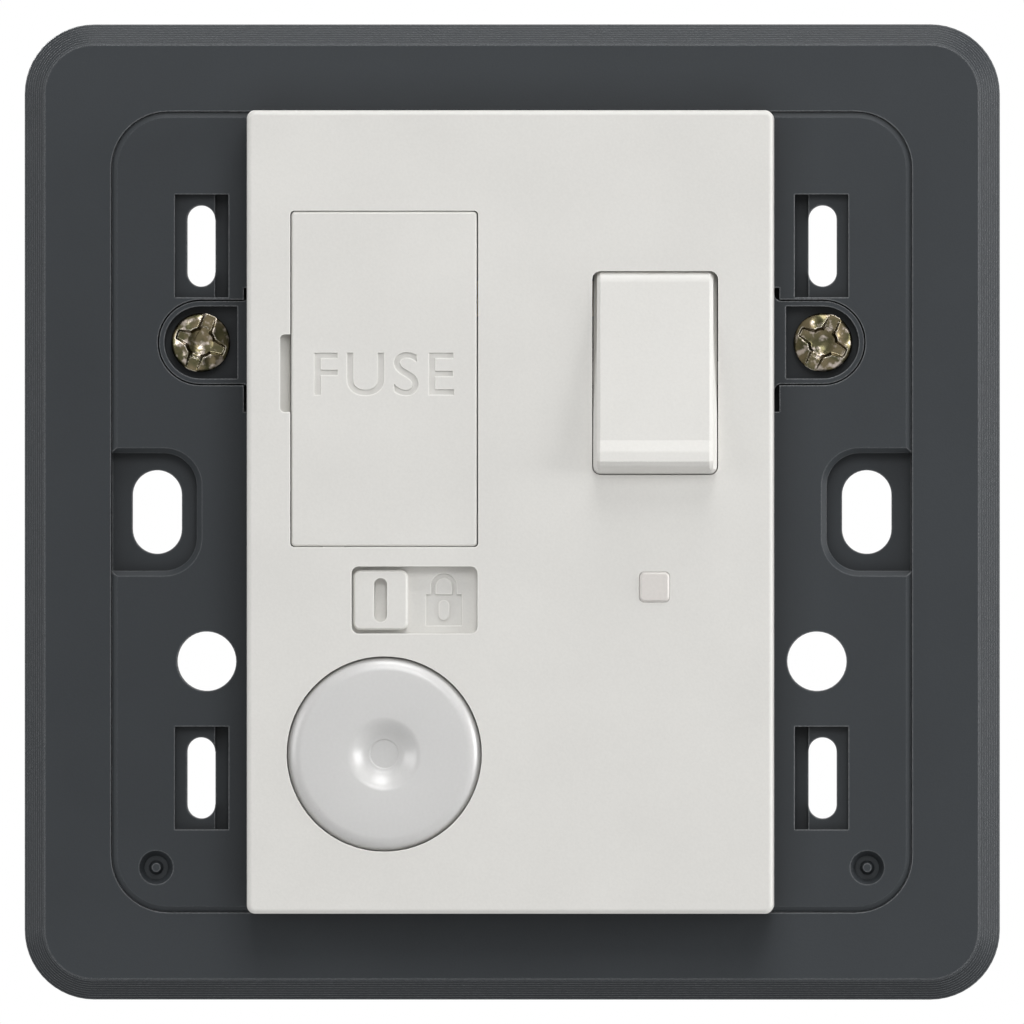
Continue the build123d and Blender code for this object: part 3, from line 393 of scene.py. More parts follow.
def flowing_tint(finish, tone, grain_size, swing):
    """A moulding's flow and grain as noises, and its colour, which follows both."""
    flow = finish.noise(scale=90.0, detail=4.0)
    grit = finish.noise(scale=1.0 / grain_size, detail=2.0)
    share = finish.ramp(flow * FLOW_SHARE + grit * (1 - FLOW_SHARE), low=0.35, high=0.65)
    return flow, grit, finish.mix(share, shade(tone, 1 - swing), shade(tone, 1 + swing))


def moulding(name, tone, roughness, grain_size, grain_depth, specular, painted_highlight=1.0, speckle=0.10):
    """Moulded plastic with a fine spark-eroded grain, a faint flow in its colour and, when asked, a painted
    highlight along its outer edges.
    """
    finish = Finish(name)
    flow, grit, tint = flowing_tint(finish, tone, grain_size, swing=0.03)
    # Painted highlight: the colour goes paler along the outer edges, standing in for light caught by them.
    if painted_highlight > 1.0:
        tint = finish.mix(finish.rim(low=0.04, high=0.40), tint, shade(tone, painted_highlight))
    rough = finish.uneven((flow, FLOW_SWING), (grit, speckle), level=roughness)
    normal = finish.grain(grit, depth=grain_depth, strength=0.5, edge=sizes().edge_soft)
    return finish.surface(base_color=tint, roughness=rough, normal=normal, specular_ior_level=specular)


def metal(name, tone, dull, bright, roughness, stretch=(1.0, 1.0, 1.0)):
    """Plated or plain metal with drifting duller and brighter tints and fine drawing marks."""
    finish = Finish(name)
    drift = finish.ramp(finish.noise(scale=420.0), low=0.40, high=0.62)
    patch = finish.ramp(finish.noise(scale=780.0, detail=2.0), low=0.45, high=0.70)
    tint = finish.mix(drift, opaque(tone), shade(tone, dull))
    tint = finish.mix(patch, tint, shade(tone, bright))
    marks = finish.noise(scale=2600.0, detail=4.0, stretch=stretch)
    rough = finish.uneven((marks, 0.22), level=roughness)
    normal = finish.grain(marks, depth=0.02 * MM, strength=0.25, edge=0.08 * MM)
    return finish.surface(base_color=tint, metallic=1.0, roughness=rough, normal=normal)


def dark_plastic():
    """Matt dark moulding with painted shade in its hollows and a grainy painted highlight along its outer
    edges.
    """
    tone = colours().dark
    finish = Finish("dark_plastic")
    flow, grit, tint = flowing_tint(finish, tone, grain_size=0.16 * MM, swing=0.05)
    # Painted shade: the colour falls to half its tone in hollows and near other pieces, where light is
    # blocked.
    lit = finish.ramp(finish.openness(reach=4.0 * MM), low=0.35, high=0.95)
    tint = finish.mix(lit, shade(tone, 0.5), tint)
    # Painted highlight: a grainy paler colour along the outer edges, standing in for light caught by them.
    painted_highlight = finish.rim(low=0.02, high=0.28) * finish.ramp(grit, low=0.35, high=0.65, floor=0.45)
    tint = finish.mix(painted_highlight, tint, opaque(colours().dark_painted_highlight))
    rough = finish.uneven((flow, FLOW_SWING), (grit, 0.10), level=0.46)
    normal = finish.grain(grit, depth=0.012 * MM, strength=0.5, edge=sizes().edge_soft)
    return finish.surface(base_color=tint, roughness=rough, normal=normal, specular_ior_level=0.20)


def white_plastic():
    """Satin white moulding with a painted highlight along its outer edges."""
    return moulding("white_plastic", colours().white, roughness=0.42, grain_size=0.22 * MM,
                    grain_depth=0.010 * MM, specular=0.40, painted_highlight=1.28)


def soft_white():
    """Soft plug: smoother and cooler than the mouldings."""
    return moulding("soft_white", colours().soft, roughness=0.29, grain_size=0.25 * MM,
                    grain_depth=0.001 * MM, specular=0.75, speckle=0.02)


def frosted_lens():
    """Frosted plastic that lets a little light through."""
    tone = colours().lens
    finish = Finish("frosted_lens")
    frost = finish.noise(scale=3500.0)
    tint = finish.mix(frost, shade(tone, 0.93), shade(tone, 1.06))
    rough = finish.uneven((frost, 0.2), level=0.32)
    normal = finish.grain(frost, depth=0.02 * MM, strength=0.4, edge=0.08 * MM)
    return finish.surface(base_color=tint, roughness=rough, normal=normal, transmission_weight=0.06)


def passivated_zinc():
    """Yellow passivated zinc: drifting tints that are partly its own and partly painted reflections, with
    painted shade in the hollows and painted highlights along the edges.
    """
    tones = colours()
    finish = Finish("passivated_zinc")
    # Drifting passivation tints, whose patchy light and dark also stand in for reflections of the
    # surroundings.
    drift = finish.ramp(finish.noise(scale=700.0), low=0.40, high=0.60)
    patch = finish.ramp(finish.noise(scale=1500.0), low=0.52, high=0.66)
    tint = finish.mix(drift, opaque(tones.zinc), opaque(tones.zinc_green))
    tint = finish.mix(patch, tint, opaque(tones.zinc_rose))
    # Painted shade: the colour goes dull and dark in hollows, standing in for shade and dark reflections.
    lit = finish.ramp(finish.openness(reach=0.7 * MM), low=0.15, high=0.70)
    tint = finish.mix(lit, opaque(tones.zinc_painted_shade), tint)
    # Painted highlight: a bright colour along sharp edges, standing in for light caught by them.
    tint = finish.mix(finish.edges(reach=0.16 * MM), tint, opaque(tones.zinc_painted_highlight))
    marks = finish.noise(scale=2600.0, detail=4.0)
    rough = finish.uneven((marks, 0.3), level=0.22)
    normal = finish.grain(marks, depth=0.03 * MM, strength=0.35, edge=0.10 * MM)
    return finish.surface(base_color=tint, metallic=1.0, roughness=rough, normal=normal)


def plain_brass():
    """Bare brass of the terminals, strips and contact arms."""
    return metal("plain_brass", colours().brass, dull=0.86, bright=1.10, roughness=0.30,
                 stretch=(6.0, 1.0, 1.0))


def nickel_plate():
    """Nickel plate of the fuse's caps."""
    return metal("nickel_plate", colours().nickel, dull=0.92, bright=1.08, roughness=0.24,
                 stretch=(1.0, 1.0, 6.0))


def contact_silver():
    """Silver of the contact rivets."""
    return metal("contact_silver", colours().silver, dull=0.90, bright=1.05, roughness=0.30)


def spring_wire():
    """Steel wire of the plungers' springs."""
    return metal("spring_wire", colours().wire, dull=0.85, bright=1.12, roughness=0.30,
                 stretch=(1.0, 5.0, 1.0))


def ceramic_tube():
    """Unglazed ceramic of the fuse's barrel."""
    return moulding("ceramic_tube", colours().ceramic, roughness=0.62, grain_size=0.30 * MM,
                    grain_depth=0.020 * MM, specular=0.40)


def natural_nylon():
    """Nylon of the plungers."""
    return moulding("natural_nylon", colours().nylon, roughness=0.42, grain_size=0.25 * MM,
                    grain_depth=0.010 * MM, specular=0.45)


def resistor_lacquer():
    """Lacquer on the lamp's resistor."""
    return moulding("resistor_lacquer", colours().lacquer, roughness=0.34, grain_size=0.30 * MM,
                    grain_depth=0.015 * MM, specular=0.50)


def lamp_glass():
    """Clear glass with a faint unevenness."""
    tone = colours().glass
    finish = Finish("lamp_glass")
    wave = finish.noise(scale=600.0, detail=2.0)
    tint = finish.mix(wave, shade(tone, 0.97), opaque(tone))
    normal = finish.grain(wave, depth=0.03 * MM, strength=0.2, edge=0.05 * MM)
    rough = finish.uneven((wave, 0.04), level=0.06)
    return finish.surface(base_color=tint, roughness=rough, normal=normal, transmission_weight=0.9)


def coat(mesh, material):
    """Gives a mesh one material in the place of any other."""
    mesh.materials.clear()
    mesh.materials.append(material)


def wear(material, *nodes):
    """Gives CAD nodes, whose shapes stay as they are, a finish."""
    for name in nodes:
        coat(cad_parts[name].data, material)


def added(name, data):
    """An object in the scene for a mesh, a text, a light or a camera."""
    made = bpy.data.objects.new(name, data)
    bpy.context.scene.collection.objects.link(made)
    return made


def evaluated(made):
    """The mesh that an object's text or modifiers come to."""
    graph = bpy.context.evaluated_depsgraph_get()
    return bpy.data.meshes.new_from_object(made.evaluated_get(graph))


def smoothed(mesh, sharp):
    """Makes a mesh smooth where its faces meet at less than an angle in degrees."""
    mesh.shade_smooth()
    mesh.set_sharp_from_angle(angle=math.radians(sharp))
    return mesh


def meshed(name, shape, sharp=SHARP):
    """A mesh from a bmesh, without the normals that a CAD mesh brings with it."""
    mesh = bpy.data.meshes.new(name)
    shape.to_mesh(mesh)
    shape.free()
    stored = mesh.attributes.get("custom_normal")
    if stored:
        mesh.attributes.remove(stored)
    return smoothed(mesh, sharp)


def add_piece(name, mesh, body, slot, material, *nodes):
    """Puts a mesh in the scene as a piece of a body, in the place of CAD nodes."""
    mesh.name = name
    coat(mesh, material)
    piece = added(name, mesh)
    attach(piece, body)
    if nodes:
        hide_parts(*nodes)


def joined_copy(node):
    """A bmesh of a CAD node with its loose triangles joined."""
    shape = bmesh.new()
    shape.from_mesh(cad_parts[node].data)
    bmesh.ops.remove_doubles(shape, verts=shape.verts, dist=JOINED)
    return shape


def merged_copy(node):
    """A mesh of a CAD node with its flat faces made whole."""
    shape = joined_copy(node)
    bmesh.ops.dissolve_limit(shape, angle_limit=FLAT, verts=shape.verts, edges=shape.edges)
    return meshed(node + "_copy", shape)


def cover_back():
    """Level of the back of the front cover's skin, out of the wall."""
    return -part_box("front_cover")[0].y - sizes().cover_skin


def fitted_copy(node, growth):
    """A copy of a node, the sides of its front part moved out towards the opening that it stands in."""
    mesh = merged_copy(node)
    skin_back = cover_back()
    low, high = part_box(node)
    middle = (low + high) / 2
    front = [vert for vert in mesh.vertices if -vert.co.y > skin_back + PICKED]
    half = max(abs(vert.co.x - middle.x) for vert in front)
    for vert in front:
        vert.co.x += (vert.co.x - middle.x) * growth / half
        vert.co.z += (vert.co.z - middle.z) * growth / half
    return mesh


def enclosed(mesh):
    """Volume that a mesh encloses."""
    shape = bmesh.new()
    shape.from_mesh(mesh)
    volume = shape.calc_volume()
    shape.free()
    return volume


def carved(mesh, cutter):
    """The mesh with the cutter taken out of it, worked out in millimetres."""
    objects = []
    for part in (mesh, cutter):
        part.transform(Matrix.Scale(1.0 / MM, 4))
        objects.append(added("carving", part))
    cut = objects[0].modifiers.new("cut", "BOOLEAN")
    cut.operation = "DIFFERENCE"
    cut.solver = "EXACT"
    cut.object = objects[1]
    result = evaluated(objects[0])
    share = enclosed(result) / enclosed(mesh)
    if share < LEAST_LEFT or share >= 1.0:
        raise RuntimeError("the cut did not work on " + mesh.name)
    for made in objects:
        bpy.data.objects.remove(made)
    for part in (mesh, cutter):
        bpy.data.meshes.remove(part)
    result.transform(Matrix.Scale(MM, 4))
    return smoothed(result, SHARP)


def faced(shape, x, out, up):
    """Turns a shape that was drawn flat to the front, and puts it in its place."""
    moved = Matrix.Translation((x, -out, up)) @ FACING
    bmesh.ops.transform(shape, matrix=moved, verts=shape.verts)
    return shape


def lathed(outline, steps):
    """A round shape from its half outline of radius and level, about Z."""
    shape = bmesh.new()
    points = [shape.verts.new((radius, 0.0, level)) for radius, level in outline]
    edges = [shape.edges.new(pair) for pair in zip(points, points[1:])]
    bmesh.ops.spin(shape, geom=points + edges, cent=(0, 0, 0), axis=(0, 0, 1), angle=math.tau,
                   steps=steps, use_merge=True)
    bmesh.ops.remove_doubles(shape, verts=shape.verts, dist=JOINED)
    bmesh.ops.recalc_face_normals(shape, faces=shape.faces)
    return shape


def bar(width, height, low, high):
    """A block drawn flat, from a low level to a high one."""
    shape = bmesh.new()
    bmesh.ops.create_cube(shape, size=1.0)
    bmesh.ops.scale(shape, vec=(width, height, high - low), verts=shape.verts)
    bmesh.ops.translate(shape, vec=(0, 0, (low + high) / 2), verts=shape.verts)
    return shape


def round_uprights(shape, radius, steps):
    """Rounds the edges that run along Z."""
    edges = [edge for edge in shape.edges if (edge.verts[0].co.xy - edge.verts[1].co.xy).length < PICKED]
    bmesh.ops.bevel(shape, geom=edges, offset=radius, offset_type="OFFSET", segments=steps, profile=0.5,
                    affect="EDGES", material=-1, clamp_overlap=True)


def of_kind(parts, kind):
    """The vertices, edges or faces among what a bmesh operator gives back."""
    return [part for part in parts if isinstance(part, kind)]


class SPUR_OT_dark_mouldings(bpy.types.Operator):
    """Finish the dark mouldings, bevel the support plate and rib the sloping edge of the wall frame"""

    bl_idname = "spur.dark_mouldings"
    bl_label = "Dark mouldings"

    def execute(self, context):
        finish = dark_plastic()
        wear(finish, "outer_frame", "rear_housing", "cord_clamp_bar")
        add_piece("plate_bevelled", self.bevelled_plate(), "base", "dark_plastic", finish, "support_plate")
        add_piece("ribbed_edge", self.ribbed_edge(), "base", "dark_plastic", finish)
        return {"FINISHED"}

    def bevelled_plate(self):
        """The plate with a shallower bevel round its outline, which stands closer to the frame."""
        size = sizes()
        shape = joined_copy("support_plate")
        low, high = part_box("support_plate")
        straight = high.x - size.plate_corner
        for vert in shape.verts:
            beyond = Vector((abs(vert.co.x) - straight, abs(vert.co.z) - straight))
            corner = beyond.length if min(beyond) > 0 else max(beyond)
            if abs(corner - size.plate_corner) < PICKED:
                vert.co.x *= 1 + size.plate_grow / high.x
                vert.co.z *= 1 + size.plate_grow / high.x
                if abs(vert.co.y - low.y - size.plate_edge) < PICKED:
                    vert.co.y = low.y + size.plate_drop
        return meshed("plate_bevelled", shape, sharp=20.0)

    def rib_outline(self):
        """Points of distance in from the frame's outer side and level out of the wall."""
        size = sizes()
        low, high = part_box("outer_frame")
        run = size.edge_run
        rise = -low.y - size.edge_lip
        slope = math.hypot(run, rise)
        along = Vector((run, rise)) / slope
        out = Vector((-rise, run)) / slope
        first = Vector((0.0, size.edge_lip)) + along * size.edge_margin
        pitch = (slope - 2 * size.edge_margin) / size.rib_count
        points = []
        for rib in range(size.rib_count):
            foot = first + along * pitch * rib
            points += [foot, foot + along * pitch / 2 + out * size.rib_height]
        points.append(first + along * pitch * size.rib_count)
        return points + [points[-1] - out * size.rib_root, points[0] - out * size.rib_root]

    def ribbed_edge(self):
        """The rib outline carried round the frame: four straight runs and four turns."""
        size = sizes()
        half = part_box("outer_frame")[1].x
        straight = half - size.frame_corner
        shape = bmesh.new()
        points = [shape.verts.new((half - point.x, -point.y, -straight)) for point in self.rib_outline()]
        edges = [shape.edges.new((first, second)) for first, second in zip(points, points[1:] + points[:1])]
        geometry = points + edges
        for side in range(4):
            turned = Matrix.Rotation(math.radians(-90 * side), 3, "Y")
            loop = of_kind(geometry, bmesh.types.BMEdge)
            grown = bmesh.ops.extrude_edge_only(shape, edges=loop)["geom"]
            ends = of_kind(grown, bmesh.types.BMVert)
            bmesh.ops.translate(shape, vec=turned @ Vector((0, 0, 2 * straight)), verts=ends)
            edges = of_kind(grown, bmesh.types.BMEdge)
            loop = [edge for edge in edges if all(vert in ends for vert in edge.verts)]
            centre = turned @ Vector((straight, 0, straight))
            spun = bmesh.ops.spin(shape, geom=ends + loop, cent=centre, axis=(0, -1, 0),
                                  angle=math.radians(90), steps=CORNER_STEPS)
            geometry = spun["geom_last"]
        bmesh.ops.remove_doubles(shape, verts=shape.verts, dist=CLOSED)
        bmesh.ops.recalc_face_normals(shape, faces=shape.faces)
        return meshed("ribbed_edge", shape, sharp=12.0)


class SPUR_OT_white_mouldings(bpy.types.Operator):
    """Finish the front cover and the rocker"""

    bl_idname = "spur.white_mouldings"
    bl_label = "White mouldings"

    def execute(self, context):
        wear(white_plastic(), "front_cover", "rocker")
        return {"FINISHED"}


class SPUR_OT_fuse_carrier(bpy.types.Operator):
    """Sink a generic word into the front of the fuse carrier, and finish the fuse"""

    bl_idname = "spur.fuse_carrier"
    bl_label = "Fuse carrier"

    def execute(self, context):
        carrier = carved(fitted_copy("fuse_carrier", sizes().carrier_grow), self.lettering())
        add_piece("fuse_carrier_lettered", carrier, "fuse_carrier", "white_plastic", white_plastic(),
                  "fuse_carrier")
        wear(ceramic_tube(), "fuse_barrel")
        wear(nickel_plate(), "fuse_caps")
        return {"FINISHED"}

    def lettering(self):
        """The word as a cutter, made to its width and height."""
        size = sizes()
        curve = bpy.data.curves.new("word", "FONT")
        curve.body = size.word
        curve.extrude = LETTER_DEPTH
        curve.space_character = LETTER_SPACING
        curve.resolution_u = LETTER_STEPS
        writing = added("word", curve)
        flat = evaluated(writing)
        bpy.data.objects.remove(writing)
        bpy.data.curves.remove(curve)
        shape = bmesh.new()
        shape.from_mesh(flat)
        bpy.data.meshes.remove(flat)
        bmesh.ops.remove_doubles(shape, verts=shape.verts, dist=LETTER_JOINED)
        low = Vector([min(vert.co[axis] for vert in shape.verts) for axis in range(3)])
        high = Vector([max(vert.co[axis] for vert in shape.verts) for axis in range(3)])
        bmesh.ops.translate(shape, vec=-(low + high) / 2, verts=shape.verts)
        spread = high - low
        scale = (size.word_width / spread.x, size.word_height / spread.y, 2 * size.word_depth / spread.z)
        bmesh.ops.scale(shape, vec=scale, verts=shape.verts)
        near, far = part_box("fuse_carrier")
        faced(shape, (near.x + far.x) / 2, -near.y, (near.z + far.z) / 2 + size.word_rise)
        return meshed("word", shape)


class SPUR_OT_lock_slider(bpy.types.Operator):
    """Sink a padlock sign into the lock slider"""

    bl_idname = "spur.lock_slider"
    bl_label = "Lock slider"

    def execute(self, context):
        size = sizes()
        floor = self.sign_floor()
        slider = carved(merged_copy("lock_slider"), meshed("body", self.lock_body(floor)))
        slider = carved(slider, meshed("shackle", self.shackle(floor)))
        finish = white_plastic()
        add_piece("lock_slider_signed", slider, "lock_slider", "white_plastic", finish, "lock_slider")
        keyhole = bar(size.keyhole_width, size.keyhole_height, -2 * size.sign_depth, 0.0)
        round_uprights(keyhole, KEYHOLE_ROUND * size.keyhole_width, KEYHOLE_STEPS)
        faced(keyhole, size.sign_x, floor, size.sign_z)
        add_piece("lock_keyhole", meshed("lock_keyhole", keyhole), "lock_slider", "white_plastic", finish)
        return {"FINISHED"}

    def sign_floor(self):
        """Level of the slider's plate under the padlock sign, out of the wall."""
        size = sizes()
        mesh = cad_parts["lock_slider"].data
        button_side = size.sign_x - size.sign_width
        return max(-vert.co.y for vert in mesh.vertices if vert.co.x > button_side)

    def lock_body(self, floor):
        """The lock's body as a cutter."""
        size = sizes()
        body = bar(size.sign_width, size.sign_height, -size.sign_depth, size.sign_depth)
        return faced(body, size.sign_x, floor, size.sign_z)

    def shackle(self, floor):
        """Half a ring with two legs as a cutter, let into the top of the lock's body."""
        size = sizes()
        outer = size.shackle_width / 2
        inner = outer - size.shackle_stroke
        depth = size.sign_depth
        shape = bmesh.new()
        corners = ((inner, -depth), (outer, -depth), (outer, depth), (inner, depth))
        points = [shape.verts.new((radius, 0.0, level)) for radius, level in corners]
        start = shape.faces.new(points)
        spun = bmesh.ops.spin(shape, geom=[start], cent=(0, 0, 0), axis=(0, 0, 1), angle=math.pi,
                              steps=SHACKLE_STEPS)
        leg = size.shackle_rise - outer + depth
        for end in [start] + of_kind(spun["geom_last"], bmesh.types.BMFace):
            grown = bmesh.ops.extrude_face_region(shape, geom=[end])["geom"]
            bmesh.ops.translate(shape, vec=(0, -leg, 0), verts=of_kind(grown, bmesh.types.BMVert))
            bmesh.ops.delete(shape, geom=[end], context="FACES_ONLY")
        bmesh.ops.recalc_face_normals(shape, faces=shape.faces)
        top = size.sign_z + size.sign_height / 2 + size.shackle_rise
        return faced(shape, size.sign_x, floor, top - outer)


class SPUR_OT_outlet_plug(bpy.types.Operator):
    """Turn the soft plug of the flex outlet"""

    bl_idname = "spur.outlet_plug"
    bl_label = "Outlet plug"

    def execute(self, context):
        low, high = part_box("cord_outlet_grommet")
        shape = lathed(self.outline(-low.y, -high.y, (high.x - low.x) / 2), PLUG_STEPS)
        faced(shape, (low.x + high.x) / 2, 0.0, (low.z + high.z) / 2)
        plug = meshed("outlet_plug", shape, sharp=40.0)
        add_piece("outlet_plug", plug, "base", "soft_white", soft_white(), "cord_outlet_grommet")
        return {"FINISHED"}

    def outline(self, top, foot, flange):
        """Half outline from the middle of the crater round to the middle of the back."""
        size = sizes()
        floor = top - size.crater_depth
        disc = floor - size.crater_step
        points = [(0.0, disc), (size.crater_floor - size.crater_step, disc), (size.crater_floor, floor)]
        reach = size.crater_radius - size.crater_floor
        for step in range(1, CRATER_STEPS + 1):
            share = step / CRATER_STEPS
            rise = size.crater_depth * (1 - math.cos(math.pi * share)) / 2
            points.append((size.crater_floor + reach * share, floor + rise))
        shoulder = size.plug_radius - size.plug_round
        points.append((shoulder, top))
        for step in range(1, PLUG_RIM_STEPS + 1):
            angle = math.radians(90 * step / PLUG_RIM_STEPS)
            points.append((shoulder + size.plug_round * math.sin(angle),
                           top - size.plug_round * (1 - math.cos(angle))))
        inside = top - size.plug_skin
        skin_back = cover_back()
        points += [(size.plug_radius, skin_back), (flange, skin_back), (flange, foot)]
        points += [(size.plug_hollow, foot), (size.plug_hollow, inside), (size.crater_radius, inside)]
        return points + [(size.crater_floor, floor - size.plug_skin), (0.0, floor - size.plug_skin)]


class SPUR_OT_indicator_lens(bpy.types.Operator):
    """Fit the frosted lens closely to its seat"""

    bl_idname = "spur.indicator_lens"
    bl_label = "Indicator lens"

    def execute(self, context):
        lens = fitted_copy("indicator_lens", sizes().lens_grow)
        add_piece("lens_fitted", lens, "base", "lens", frosted_lens(), "indicator_lens")
        return {"FINISHED"}


class SPUR_OT_ear_screws(bpy.types.Operator):
    """Turn the two ear screws and sink a slotted cross into their heads"""

    bl_idname = "spur.ear_screws"
    bl_label = "Ear screws"

    def execute(self, context):
        size = sizes()
        finish = passivated_zinc()
        low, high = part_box("module_screws")
        up = (low.z + high.z) / 2
        left = self.screw(low.x + size.head_radius, up, -low.y, -high.y, size.left_turn)
        right = self.screw(high.x - size.head_radius, up, -low.y, -high.y, size.right_turn)
        add_piece("ear_screw_left", left, "base", "zinc_steel", finish, "module_screws")
        add_piece("ear_screw_right", right, "base", "zinc_steel", finish)
        return {"FINISHED"}

    def screw(self, x, up, top, tip, clockwise):
        """A domed head on a shank, its front sunk by the slot, the cross and the dishes."""
        size = sizes()
        seat = top - size.head_height
        rim = seat + size.head_wall
        sag = top - rim
        ball = (size.head_radius ** 2 + sag ** 2) / (2 * sag)
        outline = []
        for ring in range(HEAD_RINGS + 1):
            radius = size.head_radius * ring / HEAD_RINGS
            outline.append((radius, top - ball + math.sqrt(ball ** 2 - radius ** 2)))
        outline += [(size.head_radius, seat), (size.shank_radius, seat)]
        outline += [(size.shank_radius, tip), (0.0, tip)]
        shape = lathed(outline, HEAD_STEPS)
        for vert in shape.verts:
            if vert.co.z > rim - CLOSED:
                vert.co.z = self.sunk(vert.co, top, clockwise)
        return meshed("ear_screw", faced(shape, x, 0.0, up), sharp=60.0)

    def sunk(self, spot, top, clockwise):
        """Level of the head's front at a spot, with the slot, the cross, its bowl and the dishes sunk."""
        size = sizes()
        along = spot.x * math.sin(clockwise) + spot.y * math.cos(clockwise)
        across = spot.x * math.cos(clockwise) - spot.y * math.sin(clockwise)
        diagonal = size.dish_reach / math.sqrt(2)
        aside = math.hypot(abs(along) - diagonal, abs(across) - diagonal) / size.dish_radius
        land = spot.z - size.dish_depth * max(0.0, 1 - aside ** 2) ** 2
        outside = max(0.0, abs(across) - size.slot_width / 2)
        levels = [land, top - size.slot_depth + size.wall_slope * outside]
        radius = math.hypot(along, across)
        floor = top - size.arm_depth - size.bowl_dip * max(0.0, 1 - (radius / size.bowl_radius) ** 2)
        for reach, run, side in ((size.arm_along, along, across), (size.arm_across, across, along)):
            share = min(abs(run) / reach, 1.0)
            half = (size.arm_root + (size.arm_tip - size.arm_root) * share) / 2
            outside = max(0.0, abs(side) - half) + max(0.0, abs(run) - reach)
            levels.append(floor + size.wall_slope * outside)
        levels.append(floor + size.wall_slope * max(0.0, radius - size.bowl_radius))
        lowest = min(levels)
        near = sum(math.exp((lowest - level) / size.wall_soft) for level in levels)
        return lowest - size.wall_soft * math.log(near)


class SPUR_OT_rear_hardware(bpy.types.Operator):
    """Finish the terminals and the screws at the back"""

    bl_idname = "spur.rear_hardware"
    bl_label = "Rear hardware"

    def execute(self, context):
        wear(plain_brass(), "supply_line_terminal", "supply_neutral_terminal", "load_line_terminal",
             "load_neutral_terminal", "earth_terminal")
        wear(passivated_zinc(), "terminal_screws", "housing_screws", "cord_clamp_screws")
        return {"FINISHED"}


class SPUR_OT_inner_works(bpy.types.Operator):
    """Finish the strips, the contact arms, the plungers and the lamp inside"""

    bl_idname = "spur.inner_works"
    bl_label = "Inner works"

    def execute(self, context):
        wear(plain_brass(), "fuse_outlet_clip", "fuse_feed_strip", "line_pivot_strip", "neutral_pivot_strip",
             "neutral_contact_strip", "line_contact_arm", "neutral_contact_arm")
        wear(contact_silver(), "fixed_contact_tips", "moving_contact_tips")
        wear(natural_nylon(), "plungers")
        wear(spring_wire(), "plunger_springs")
        wear(lamp_glass(), "lamp")
        wear(resistor_lacquer(), "lamp_resistor")
        return {"FINISHED"}


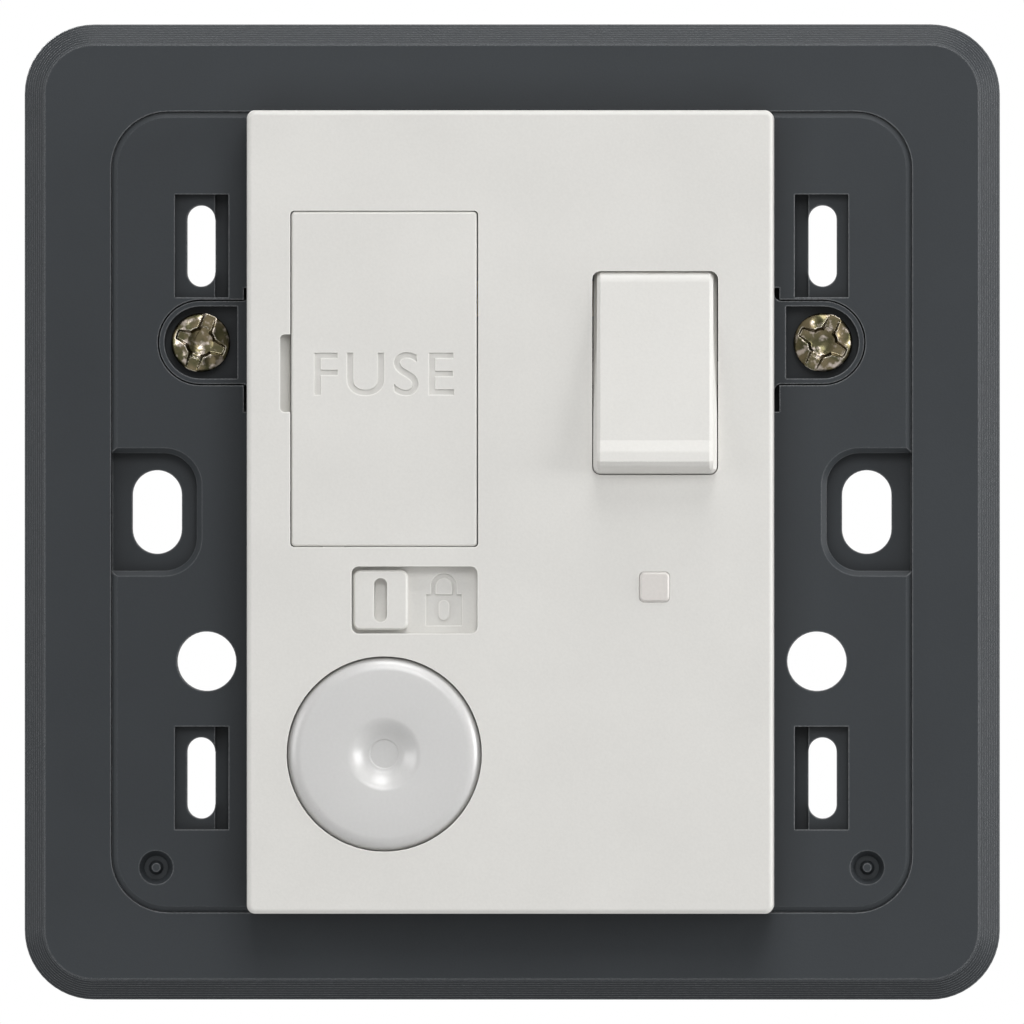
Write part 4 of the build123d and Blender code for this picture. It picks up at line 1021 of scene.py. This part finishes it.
class SPUR_OT_stage(bpy.types.Operator):
    """Set up the camera, the lights, the room and the floor"""

    bl_idname = "spur.stage"
    bl_label = "Stage"

    def execute(self, context):
        stage = context.scene.spur_stage
        context.scene.view_settings.view_transform = "Standard"
        self.camera(stage)
        for name in LIGHTS:
            self.light(stage, name)
        self.room(stage)
        self.floor(stage)
        return {"FINISHED"}

    def aimed(self, name, data, spot, target):
        """An object that looks from its spot at a target."""
        made = added(name, data)
        made.location = spot
        made.rotation_euler = (Vector(target) - Vector(spot)).to_track_quat("-Z", "Y").to_euler()
        return made

    def camera(self, stage):
        """The camera, straight in front of the frame but for a small turn to the side."""
        data = bpy.data.cameras.new("camera")
        low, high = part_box("outer_frame")
        target = (low + high) / 2
        back = Vector((math.sin(stage.view_side), -math.cos(stage.view_side), 0.0))
        data.lens = data.sensor_width * stage.view_reach / stage.view_width
        bpy.context.scene.camera = self.aimed("camera", data, target + back * stage.view_reach, target)

    def light(self, stage, name):
        """A square soft light that looks at the unit's middle."""
        data = bpy.data.lights.new(name, "AREA")
        data.energy = getattr(stage, name + "_power")
        data.size = stage.light_size
        self.aimed(name, data, getattr(stage, name + "_place"), (0.0, 0.0, 0.0))

    def seen(self, finish):
        """1 for rays that see the background, straight or through gloss and glass."""
        names = ("Is Camera Ray", "Is Glossy Ray", "Is Transmission Ray")
        straight, gloss, glass = [finish.node("ShaderNodeLightPath", {}, {}, name) for name in names]
        return straight.most(gloss).most(glass)

    def room(self, stage):
        """Even light from all round, which is white where it is seen."""
        world = bpy.data.worlds.new("room")
        bpy.context.scene.world = world
        finish = Finish("room", world)
        around = finish.node("ShaderNodeBackground", {}, {"Color": WHITE, "Strength": stage.room})
        white = finish.node("ShaderNodeBackground", {}, {"Color": WHITE, "Strength": 1.0})
        mixed = finish.node("ShaderNodeMixShader", {}, {0: self.seen(finish), 1: around, 2: white})
        finish.node("ShaderNodeOutputWorld", {}, {"Surface": mixed})

    def floor(self, stage):
        """A pale floor that keeps the unit's shadow and goes towards white where it is seen."""
        shape = bmesh.new()
        bmesh.ops.create_grid(shape, x_segments=1, y_segments=1, size=stage.floor_side / 2)
        bmesh.ops.translate(shape, vec=(0, 0, -stage.floor_drop), verts=shape.verts)
        mesh = meshed("floor", shape)
        finish = Finish("floor")
        matt = finish.node("ShaderNodeBsdfDiffuse", {}, {"Color": opaque(stage.floor_tone)})
        white = finish.node("ShaderNodeEmission", {}, {"Color": WHITE, "Strength": 1.0})
        share = self.seen(finish) * stage.floor_white
        mixed = finish.node("ShaderNodeMixShader", {}, {0: share, 1: matt, 2: white})
        finish.node("ShaderNodeOutputMaterial", {}, {"Surface": mixed})
        coat(mesh, finish.owner)
        floor = added("floor", mesh)


class SPUR_PT_pieces(bpy.types.Panel):
    """Pieces of the spur unit, in the order in which they are made"""

    bl_idname = "SPUR_PT_pieces"
    bl_label = "Spur unit"
    bl_space_type = "VIEW_3D"
    bl_region_type = "UI"
    bl_category = "Spur unit"

    def draw(self, context):
        for operator in OPERATORS:
            self.layout.operator(operator.bl_idname)


GROUPS = {"spur_sizes": SpurSizes, "spur_colours": SpurColours, "spur_stage": SpurStage}
OPERATORS = (
    SPUR_OT_dark_mouldings,
    SPUR_OT_white_mouldings,
    SPUR_OT_fuse_carrier,
    SPUR_OT_lock_slider,
    SPUR_OT_outlet_plug,
    SPUR_OT_indicator_lens,
    SPUR_OT_ear_screws,
    SPUR_OT_rear_hardware,
    SPUR_OT_inner_works,
    SPUR_OT_stage,
)


def register():
    """Registers the classes, and gives every scene its sizes, colours and stage."""
    for name, group in GROUPS.items():
        bpy.utils.register_class(group)
        setattr(bpy.types.Scene, name, PointerProperty(type=group))
    for operator in OPERATORS:
        bpy.utils.register_class(operator)
    bpy.utils.register_class(SPUR_PT_pieces)


def unregister():
    """Takes back what register did."""
    bpy.utils.unregister_class(SPUR_PT_pieces)
    for operator in reversed(OPERATORS):
        bpy.utils.unregister_class(operator)
    for name, group in GROUPS.items():
        delattr(bpy.types.Scene, name)
        bpy.utils.unregister_class(group)


def main():
    """Makes every piece in order."""
    register()
    bpy.ops.spur.dark_mouldings()
    bpy.ops.spur.white_mouldings()
    bpy.ops.spur.fuse_carrier()
    bpy.ops.spur.lock_slider()
    bpy.ops.spur.outlet_plug()
    bpy.ops.spur.indicator_lens()
    bpy.ops.spur.ear_screws()
    bpy.ops.spur.rear_hardware()
    bpy.ops.spur.inner_works()
    bpy.ops.spur.stage()


if __name__ == "__main__":
    main()
